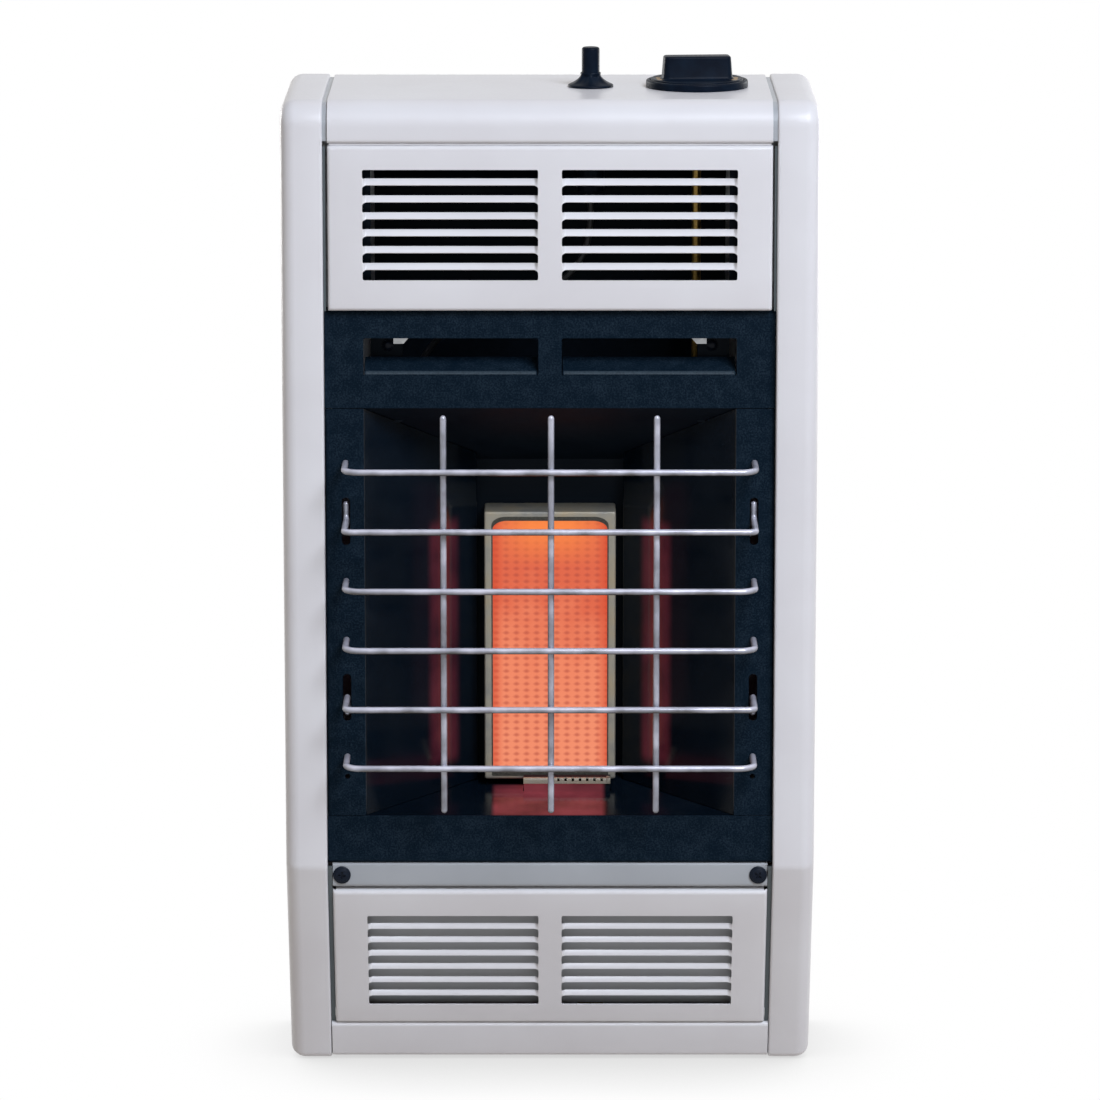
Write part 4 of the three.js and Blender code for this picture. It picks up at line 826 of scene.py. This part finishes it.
flangeFace = blackFace + sheet + 0.3
reflector = {"sheet": 1.0, "back": -50.0, "backHalf": 46.6, "sideHalf": opening["half"] + 0.4,
             "flange": 8, "backTop": 384.0, "backFoot": 178.0, "corner": -64.0}


def backShare(y, start):
    # how far a depth lies on the way from a start to the reflector's back
    return np.clip((y - start) / (reflector["back"] - start), 0, 1)


def plateSheet(line):
    # a (depth, height) line carried across by half the plate's width at that depth: wide at the
    # front flange, then tapering to the back
    start = flangeFace + 2
    wide, narrow = (reflector[key] + reflector["flange"] for key in ("sideHalf", "backHalf"))
    y, z = np.repeat(line, 2, 0).T
    x = np.where(y < start - 0.9, blackHalf - 3.5, wide + (narrow - wide) * backShare(y, start))
    return np.stack([np.tile([-1, 1], len(line)) * x, y, z], 1), gridQuads(len(line), 2)


def makeReflectorSide():
    # from behind the plaque frame forward, out to the opening's edge, then a flange behind the
    # column; top and foot follow the hood and the floor
    line = roundedLine([(reflector["backHalf"], reflector["back"] - 1),
                        (reflector["backHalf"], reflector["corner"], 2),
                        (reflector["sideHalf"], flangeFace, 2), (guardWire["end"] - 3, flangeFace)], 6)
    share = backShare(line[:, 1], flangeFace)
    top = opening["top"] - 0.2 + (reflector["backTop"] - 0.6 - opening["top"]) * share
    foot = opening["foot"] + (reflector["backFoot"] + 0.6 - opening["foot"]) * share
    z = np.stack([foot, top], 1).reshape(-1, 1)
    return np.hstack([np.repeat(line, 2, 0), z]), gridQuads(len(line), 2)


plateBack = reflector["back"] - 0.3
hoodLine = roundedLine([(flangeFace, opening["top"] + 14), (flangeFace, opening["top"] + 0.3, 2),
                        (plateBack, reflector["backTop"])], 5)
floorLine = roundedLine([(plateBack, reflector["backFoot"]), (flangeFace, opening["foot"] - 0.3, 2),
                         (flangeFace, opening["foot"] - 14)], 5)
addPiece("hood", plateSheet(hoodLine), sootAndShadeCoat, ["reflector_hood"], (0, -100, 600),
         wall=reflector["sheet"], bevel=0.2)
pilotCut = prism(slab(-17.2, 38.7, -90.4, -80), 2, 150, 200)
addPiece("cavity_floor", plateSheet(floorLine), litFloorCoat, ["reflector_floor"], (0, -100, 0),
         wall=reflector["sheet"], cuts=[pilotCut], bevel=0.2)
addPair("cavity", makeReflectorSide(), litSideCoat, "reflector_{}", (400, -60, 300),
        wall=reflector["sheet"], bevel=0.2)
low, high = nodeBox("reflector_back")
frameLow, frameHigh = nodeBox("plaque_frame")
backCut = prism(slab(-40.2, 40.2, frameLow[2] + 1.8, frameHigh[2] - 1.8, 2, 3), 1, -60, -40)
addPiece("cavity_back", prism(slab(low[0], high[0], low[2], high[2], 3, 4), 1, low[1], high[1]),
         sootAndShadeCoat, ["reflector_back"], cuts=[backCut], bevel=0.2)
# each ear carries a screw and a tab of bare steel just inside the header's slot
ear = {"x": (92, 112), "z": (420, 480), "y": flangeFace + 22, "screw": (101, 469), "screwRadius": 3.6,
       "tab": [(84.6, 480), (97.3, 480), (97.3, 472.6), (91, 472.6)], "tabY": blackFace + 6}
addPair("hood_ear", prism(slab(*ear["x"], *ear["z"], 2, 4), 1, ear["y"], ear["y"] + 1), sootAndShadeCoat,
        bevel=0.2)
addPair("hood_tab", prism(ear["tab"], 1, ear["tabY"], ear["tabY"] + 1), coatedSteel, bevel=0.15)
addPair("ear_screw", makeScrew(*ear["screw"], ear["y"], ear["screwRadius"]), screwBlack,
        slot="spring_steel", bevel=0.1)
print("reflector made")

plaque = {"columnPitch": 6.45, "columnShift": -2.1, "rowPitch": 4.17, "stripeDepth": 0.35,
          "holeDepth": 0.55, "step": 0.75, "windowHalf": 36.4, "windowFoot": 185.9, "windowTop": 349.2}
plaqueLow, plaqueHigh = nodeBox("ceramic_plaque")


def windowLoops(pushes, spread=(1, 1)):
    # the window's outline, square below with its top corners pulled into flat quarter ellipses,
    # once for each (push away from its middle, depth from the frame's face)
    half, foot, top = plaque["windowHalf"], plaque["windowFoot"], plaque["windowTop"]
    window = slab(-half, half, foot, top, 1.0, 8)
    upper = window[:, 1] > (foot + top) / 2
    window[upper] = slab(-half, half, foot - 3.0, top, 9.0, 8)[upper]
    window[upper, 1] = top - (top - window[upper, 1]) * 0.6
    away = (window - window.mean(0)) / np.abs(window - window.mean(0)).max(0) * spread
    return [np.insert(window + away * push, 1, frameLow[1] + deep, axis=1) for push, deep in pushes]


def makePlaqueFrame(fold=1.3):
    # an open backed box: sides, a small bend, the face, the window's edge turned in
    low, high = frameLow, frameHigh
    edges = [(0, high[1])] + [(fold - fold * math.cos(a), low[1] + fold - fold * math.sin(a))
                              for a in np.linspace(0, math.pi / 2, 5)]
    loops = [np.insert(slab(low[0] + inset, high[0] - inset, low[2] + inset, high[2] - inset, 1.4, 8),
                       1, y, axis=1) for inset, y in edges]
    return skin(loops + windowLoops([(0.9, 0.0), (0.25, 0.2), (0.0, 0.8), (0.0, 1.1)]))


def makePlaqueFace():
    # a slab whose face sinks by a cosine across each column of ports, and by a product of
    # cosines over each port; both fade out towards the slab's edge
    xs, zs = (np.linspace(low, high, 1 + round((high - low) / plaque["step"]))
              for low, high in zip(plaqueLow[[0, 2]], plaqueHigh[[0, 2]]))
    x, z = np.meshgrid(xs, zs)
    across = 0.5 + 0.5 * np.cos(2 * math.pi * (x - plaque["columnShift"]) / plaque["columnPitch"])
    along = 0.5 + 0.5 * np.cos(2 * math.pi * z / plaque["rowPitch"])
    edge = np.minimum.reduce([x - xs[0], xs[-1] - x, z - zs[0], zs[-1] - z])
    deep = plaque["stripeDepth"] * across + plaque["holeDepth"] * (across * along) ** 2
    points = np.stack([x, plaqueLow[1] + smoothStep((edge - 2) / 3) * deep, z], -1).reshape(-1, 3)
    rows, cols = x.shape
    index = np.arange(rows * cols).reshape(rows, cols)
    rim = np.concatenate([index[0], index[1:, -1], index[-1, -2::-1], index[-2:0:-1, 0]])
    back = points[rim] * [1, 0, 1] + [0, plaqueHigh[1], 0]
    behind = len(points) + np.arange(len(rim))
    edges = np.stack([rim, np.roll(rim, -1), np.roll(behind, -1), behind], 1).tolist()
    return np.vstack([points, back]), gridQuads(rows, cols) + edges + [behind.tolist()]


addPiece("burner_frame", makePlaqueFrame(), hotSteel, ["plaque_frame"], (0, -60, 270),
         slot="bezel_steel", wall=0.9, bevel=0.15)
# painted shade: a dark band lies on the frame's face, round the window, where the window's edge shades
# it
shadeBandLoops = [(2.9, 0.02), (2.8, -0.15), (0.4, -0.15), (0.3, 0.02), (2.9, 0.02)]
addPiece("frame_shade_band", skin(windowLoops(shadeBandLoops, (0.3, 1))), shadeBandSteel, bevel=0)
addPiece("plaque", makePlaqueFace(), glowingCeramic(plaque), ["ceramic_plaque"], slot="plaque_ceramic",
         bevel=0)

pilot = {"x": [-17.0, 38.5], "near": -92.0, "far": -81.0, "plate": opening["foot"] - 12.6,
         "top": nodeBox("pilot_bracket")[1][2], "lip": 3.8, "slotPitch": 4.6, "slotWide": 1.5}
near, far, plate, top, lip = (pilot[key] for key in ("near", "far", "plate", "top", "lip"))
pilotInside = (12, -86.5, 165)
# the bright lip rolled over at its top, with flame slots along its edge, and the hood behind it
lipLine = roundedLine([(near, top - lip), (near, top, 1.2), (near + 2.4, top)], 6)
shellLine = roundedLine([(near + 2.45, top - 0.05), (far, top - 0.05, 1.8), (far, top - 7)], 6)
flameSlots = [
    prism(slab(x, x + pilot["slotWide"], near - 1, near + 1.9, 0.7, 3), 2, top - 2.2, top + 1)
    for x in np.arange(pilot["x"][0] + 17, pilot["x"][1] - 3, pilot["slotPitch"])]
addPiece("pilot_lip", carried(lipLine, 0, pilot["x"]), hotSteel, ["pilot_bracket"], pilotInside,
         wall=1.0, cuts=flameSlots, bevel=0.12)
addPiece("pilot_hood", carried(shellLine, 0, pilot["x"]), sootAndShadeCoat, (), pilotInside,
         slot="coated_steel", wall=1.0, bevel=0.12)
# the plate that holds the pilot parts with the wall behind them, the polished sheet before
# them, and the tab at the right
pilotBase = together(
    prism(slab(*pilot["x"], near + 1.05, far - 1.05, 0.8, 3), 2, plate, plate + 1.2),
    prism(slab(*pilot["x"], plate + 1.25, top - 7.2, 0.8, 3), 1, far - 1, far))
apron = slab(pilot["x"][0] + 0.3, pilot["x"][1] - 0.3, plate + 1.25, top - lip + 0.4, 0.8, 3)
pilotTab = slab(pilot["x"][1] - 2.6, pilot["x"][1] - 0.2, near - 0.4, near + 6, 0.6, 3)
addPiece("pilot_foot", pilotBase, sootAndShadeCoat, slot="coated_steel", bevel=0.15)
# the apron takes the cavity floor's coat, with the burner's light painted on it
addPiece("pilot_apron", prism(apron, 1, near + 1.2, near + 1.55), litFloorCoat, slot="coated_steel",
         bevel=0.1)
addPiece("pilot_tab", prism(pilotTab, 2, top - 3, top), hotSteel, bevel=0.15)
print("burner made")

innerNodes = {
    coatedSteel: ["wall_bracket", "burner_box", "orifice_bracket", "valve_bracket", "venturi"],
    # painted shade: the heat shield, seen through the header's slots, takes the black coat for the
    # shade there
    sootAndShadeCoat: ["heat_shield"],
    gasketFibre: ["plaque_gasket"],
    brass: ["orifice_spud", "inlet_fitting", "pilot_burner", "rod_coupling", "extension_rod"],
    castAluminium: ["gas_valve", "regulator"],
    springSteel: ["spring_collar", "thermocouple"],
    glaze: ["spark_electrode"],
    phenolic: ["igniter_body", "igniter_lock_nut"],
}
for material, names in innerNodes.items():
    for node in (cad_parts[name] for name in names):
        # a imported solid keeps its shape; a weld joins its loose triangles before its round edges
        node.data.materials.clear()
        node.data.materials.append(material)
        node.modifiers.new("weld", "WELD").merge_threshold = 1e-5
        roundEdges(node, 0.2, 30, False)

pilotFoot = plate - 18
bodyFoot = nodeBox("igniter_body")[0][2]
valveLeft = nodeBox("gas_valve")[0][0] - 0.3
middle = (opening["top"] + opening["foot"]) / 2
routes = {
    "gas_pipe": ("main_gas_tube", drawnAluminium, 4, [
        (valveLeft, -53, 92), (valveLeft - 8, -52, 92), (44, -38, 91), (26, -29, 88), (10, -30, 78),
        (1, -35, 80), (0, -35.5, 88), (0, -35.5, 97.8)]),
    "pilot_pipe": ("pilot_tube", drawnAluminium, 2, [
        (74.2, -84, 100.3), (74.2, -84, 108), (66.2, -86, 120), (48.2, -88, 127), (34, -87, 129),
        (30, -86.5, 134), (30, -86.5, pilotFoot - 0.3)]),
    "sensor_lead": ("thermocouple_lead", copper, 1.25, [
        (valveLeft, -84, 84), (valveLeft - 6, -85, 84), (46, -94, 87), (30, -98, 96), (16, -94, 112),
        (12, -86.5, 130), (12, -86.5, pilotFoot - 0.3)]),
    "spark_lead": ("electrode_lead", leadRubber, 2, [
        (25.5, -70, bodyFoot - 0.3), (25.5, -70, bodyFoot - 14), (20.5, -72, bodyFoot - 36),
        (2.5, -72, bodyFoot - 56), (-34, -62, bodyFoot - 72), (-70, -48, bodyFoot - 92),
        (-88, -42, bodyFoot - 124), (-90, -40, middle + 27), (-90, -40, middle - 73), (-82, -46, 168),
        (-54, -68, 142), (-26, -84, 128), (-10, -90, 123), (-6, -86.5, 130),
        (-6, -86.5, pilotFoot - 0.3)]),
}
for name, (node, material, radius, points) in routes.items():
    path = easyCurve(points)
    path[-1] -= radius * unit(path[-1] - path[-2])
    path[0] += radius * unit(path[1] - path[0])
    addPiece(name, tube(path, radius, 14), material, [node], bevel=0, crease=60)

springLow, springHigh = nodeBox("return_spring")
spring = {"wire": 1.2, "turns": 6, "press": 3.0, "tall": springHigh[2] - springLow[2]}


def makeSpring():
    # a wire that climbs evenly as it goes round
    turn = 2 * math.pi * np.linspace(0, spring["turns"], 36 * spring["turns"] + 1)
    middle = (springLow + springHigh) / 2
    thick = spring["wire"] / 2
    radius = (springHigh[0] - springLow[0]) / 2 - thick
    climb = np.linspace(springLow[2] + thick, springHigh[2] - thick, len(turn))
    x, y = middle[0] + radius * np.cos(turn), middle[1] + radius * np.sin(turn)
    return tube(np.stack([x, y, climb], 1), thick, 10)


coil = addPiece("spring_coil", makeSpring(), springSteel, ["return_spring"], bevel=0, crease=60)
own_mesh(coil)
print("gas train finished")

knob = {"skirt": 29.2, "bezel": 32.0, "bezelTop": height + 4.8, "rise": 0.8, "barLength": 42,
        "barWidth": 14, "barTop": height + 19.6, "turned": math.radians(5), "draft": 0.9}
discTop = knob["bezelTop"] + knob["rise"]


def roundRim(radius, top, rim, steps=5):
    # a quarter circle from a turned body's side up to its top
    arc = np.linspace(0, math.pi / 2, steps + 1)
    return [(radius - rim + rim * math.cos(a), top - rim + rim * math.sin(a)) for a in arc]


def makeBezel():
    # a ring with round shoulders
    inner, outer, foot, top = knob["skirt"] + 0.5, knob["bezel"], height + 0.3, knob["bezelTop"]
    profile = roundedLine([(inner, foot), (outer, foot), (outer, top, 1.4), (inner, top, 0.5),
                           (inner, foot)], 5)
    return turned(profile, *knobAt, sides=96)


def makeSkirt():
    # the disc: a flat underside, a round edge and a shallow dish that rises to the middle
    r, foot, dish = knob["skirt"], height + 3.7, discTop - 0.35
    profile = [(0.0, foot), (r, foot)] + roundRim(r, discTop, 0.8) + [
        (r - 2.2, discTop - 0.05), (r - 2.8, dish), (12, dish), (0.0, dish)]
    return turned(profile, *knobAt, sides=96)


def makeGrip(rim=1.5):
    # the bar: a rounded oblong that narrows upwards, with a round top edge and a round foot
    foot, top, draft = knob["bezelTop"] + 0.35, knob["barTop"], knob["draft"]
    levels = [(grow + draft, foot + rise)
              for grow, rise in ((1.6, 0.0), (0.7, 0.35), (0.25, 1.0), (0.0, 1.8))]
    loops = []
    for grow, z in levels + roundRim(0, top, rim):
        a, b = knob["barLength"] / 2 + grow, knob["barWidth"] / 2 + grow
        outline = slab(-a, a, -b, b, 3.2 + grow, 7) @ spun(knob["turned"]) + knobAt
        loops.append(np.insert(outline, 2, z, axis=1))
    return stacked(loops)


def makeMark(degrees, near, far, wide):
    # a printed stroke on the disc, from one radius to another, a hair above it
    outline = slab(near, far, -wide / 2, wide / 2, 0.4, 4) @ spun(math.radians(degrees)) + knobAt
    return prism(outline, 2, discTop - 0.43, discTop - 0.27)


marks = [(184, 22.0, 25.5, 16), (-4, 22.0, 25.5, 16), (60, 23.5, 26.3, 1.0), (100, 21.5, 26.3, 1.4),
         (140, 23.5, 26.3, 1.0)]
addPiece("knob_ring", makeBezel(), phenolic, ["knob_bezel"], bevel=0)
addPiece("knob_disc", makeSkirt(), phenolic, ["control_knob"], body="knob", bevel=0)
addPiece("knob_grip", makeGrip(), phenolic, body="knob", bevel=0)
addPiece("knob_marks", together(*[makeMark(*mark) for mark in marks]), markPaint, body="knob", bevel=0)

igniter = {"button": 5.6, "top": height + 25, "foot": height - 21.6, "collar": 14.3,
           "collarFoot": height + 0.3, "collarTop": height + 9.0, "bore": 6.0}


def makeButton():
    # a plain stem with a rounded, slightly dished top
    r, top, foot = igniter["button"], igniter["top"], igniter["foot"]
    dished = [(2.6, top - 0.15), (0.0, top - 0.3)]
    profile = [(0.0, foot), (r, foot)] + roundRim(r, top, 1.6, 6) + dished
    return turned(profile, *igniterAt, sides=56)


def makeCollar():
    # a flared nut: the radius falls from its foot to its neck along a hollow curve, and
    # shallow flutes run down its side between rounded ribs
    base, top, foot, bore = (igniter[key] for key in ("collarFoot", "collarTop", "collar", "bore"))
    neck = bore + 0.5
    share = np.linspace(0, 1, 14)
    flare = neck + (foot - 0.5 - neck) * (1 - share) ** 1.9
    profile = [(bore, base), (foot, base), (foot, base + 0.7), (foot - 0.25, base + 1.1)]
    profile += list(zip(flare, base + 1.3 + (top - 0.5 - base - 1.3) * share))
    profile += [(neck - 0.25, top), (bore, top), (bore, base)]
    verts, faces = turned(profile, *igniterAt, sides=96)
    offset = verts[:, :2] - igniterAt
    radius = np.linalg.norm(offset, axis=1)
    angle = np.arctan2(offset[:, 1], offset[:, 0]) + math.pi / 2
    flute = np.clip(np.abs(np.sin(3 * angle)) * 1.5 - 0.25, 0, 1) ** 1.5
    level = smoothStep((verts[:, 2] - base - 1.2) / 1.5) * smoothStep((top - 0.6 - verts[:, 2]) / 1.2)
    pull = np.minimum(flute * level * (radius > neck - 0.1), radius - neck + 0.35)
    verts[:, :2] = igniterAt + offset * ((radius - pull) / radius)[:, None]
    return verts, faces


addPiece("igniter_stem", makeButton(), phenolic, ["igniter_button"], body="igniter", bevel=0)
addPiece("igniter_flare", makeCollar(), phenolic, ["igniter_collar"], bevel=0)
print("controls made")

backLow, backHigh = nodeBox("back_panel")
backPlate = {"rib": 2.4, "ribWide": 9, "flange": 15, "bend": 2.4,
             "ribs": [(-118, 60, 540), (0, 60, 500), (118, 60, 540)]}


def makeBackPanel():
    # a flat sheet with three pressed ribs: the rise is a smooth step of the distance
    # to the rib's middle line; its long sides are folded forward
    ribs, wide, fold, edge = backPlate["ribs"], backPlate["ribWide"], backPlate["bend"], backHigh[0]
    fine = wide * np.linspace(-1, 1, 13)
    xs = np.concatenate([fine + rib[0] for rib in ribs] + [np.linspace(-160, 160, 9)])
    zs = np.concatenate([rib[k] + 1.2 * fine for rib in ribs for k in (1, 2)]
                        + [[backLow[2], backHigh[2]], np.linspace(90, 460, 8)])
    xs, zs = (np.unique(np.round(values, 3)) for values in (xs, zs))
    arc = np.linspace(0, math.pi / 2, 6)
    foldX = np.append(edge - fold + fold * np.sin(arc), edge)
    foldY = -np.append(fold - fold * np.cos(arc), backPlate["flange"])
    xs = xs[np.abs(xs) < edge - fold - 0.1]
    x = np.concatenate([-foldX[::-1], xs, foldX])
    folded = np.concatenate([foldY[::-1], 0 * xs, foldY])
    gridX, gridZ = np.meshgrid(x, zs)
    rise = 0
    for ribX, foot, top in ribs:
        away = np.hypot(gridX - ribX, gridZ - np.clip(gridZ, foot, top))
        rise = np.maximum(rise, backPlate["rib"] * smoothStep(1.25 - away / wide * 1.25))
    grid = np.stack([gridX, backHigh[1] + folded + rise, gridZ], -1)
    return grid.reshape(-1, 3), gridQuads(len(zs), len(x))


hangTop = -baseZ - 2.5
holes = [slab(43, 77, hangTop - 10, hangTop + 0.3, 1.5, 4), disc(backHigh[0] - 45, 40, 3.2, 28)]
holes += [slab(35, 83, z - 2.2, z + 2.2, 2.2, 5) for z in (486, 500, 514)]
backCuts = [prism(hole, 1, -20, 0) for hole in holes]
addPiece("back_plate", makeBackPanel(), coatedSteel, ["back_panel"], (0, -100, 300), wall=sheet,
         cuts=backCuts + [mirrored(cut) for cut in backCuts], bevel=0.2)
verts, faces = makeScrew(0, 0, 0, 4.0)
for word, side in sides.items():
    for z in (70, 310, 560):
        turnedAway = verts * [-1, -1, 1] + [side * 150, backHigh[1] + 0.02, z]
        addPiece(f"back_screw_{word}_{z}", (turnedAway, faces), springSteel, bevel=0.1)
print("back made")


def addCamera():
    # a long lens, 11.2 degrees above the heater, for a square picture
    view = {"focalPx": 5883, "widthPx": 1100, "place": (0, -3.747, 0.498), "tilt": 78.78}
    data = bpy.data.cameras.new("camera")
    data.sensor_width = 36
    data.lens = data.sensor_width * view["focalPx"] / view["widthPx"]
    data.clip_end = 100
    camera = newObject("camera", data)
    camera.location = view["place"]
    camera.rotation_euler = (math.radians(view["tilt"]), 0, 0)
    bpy.context.scene.camera = camera


def addSoftBox(name, place, target, size, power, colour="#ffffff"):
    data = bpy.data.lights.new(name, "AREA")
    data.shape = "RECTANGLE"
    data.size, data.size_y = size
    data.energy = power
    data.color = linear(colour)[:3]
    lamp = newObject(name, data)
    lamp.location = place
    lamp.rotation_euler = (Vector(target) - Vector(place)).to_track_quat("-Z", "Y").to_euler()


def seenAsWhite(tree, plain, kind, output, shade=()):
    # camera, mirror and glass rays see plain white, every other ray the real colour;
    # shade darkens that white beside the heater
    path = addNode(tree, "LightPath").outputs
    anyRay = path["Is Camera Ray"]
    for name in ("Is Glossy Ray", "Is Transmission Ray"):
        anyRay = addNode(tree, "Math", {"operation": "MAXIMUM"}, links={0: anyRay, 1: path[name]})
    white = addNode(tree, kind, (), {"Color": (1, 1, 1, 1), "Strength": 1.0}, shade)
    mix = addNode(tree, "MixShader", links={0: anyRay, 1: plain, 2: white})
    fillNode(tree, tree.nodes[output], links={"Surface": mix})


def addWorld():
    world = bpy.data.worlds.new("studio")
    bpy.context.scene.world = world
    world.use_nodes = True
    tree = world.node_tree
    plain = tree.nodes["Background"]
    fillNode(tree, plain, {"Color": linear("#fff3e8"), "Strength": 0.235})
    seenAsWhite(tree, plain, "Background", "World Output")


def addFloor(size=40):
    # a pale floor just under the heater, wide enough to fill the picture
    mesh = bpy.data.meshes.new("floor")
    corners = np.insert(slab(-size, size, -size, size), 2, (baseZ - 1) * mm, axis=1)
    mesh.from_pydata(corners, [], [(0, 1, 2, 3)])
    material, tree, shader, place = startMaterial(
        "floor_paint", Roughness=0.9, Base_Color=linear("#cfc6bd"))
    nearby = addNode(tree, "AmbientOcclusion", {"samples": 12}, {"Distance": 0.12}).outputs["AO"]
    shade = addNode(tree, "ValToRGB", links={"Fac": nearby}, stops=[(0.0, 0.62), (0.85, 1.0)])
    seenAsWhite(tree, shader, "Emission", "Material Output", {"Color": shade})
    mesh.materials.append(material)
    newObject("floor", mesh)


addCamera()
addWorld()
addFloor()
addSoftBox("key", (1.2, -2.35, 2.0), (0, -0.1, -0.25), (1.5, 1.2), 117, "#ebf1ff")
addSoftBox("rear", (0.2, 1.1, 2.4), (0, 0, -0.2), (1.2, 1.0), 3, "#ffdcbe")
for word, side in sides.items():
    addSoftBox(f"back_{word}", (side * 1.8, 2.0, 0.05), (0, 0, -0.25), (1.2, 1.0), 22)
bpy.context.scene.view_settings.view_transform = "Standard"
print("studio made")
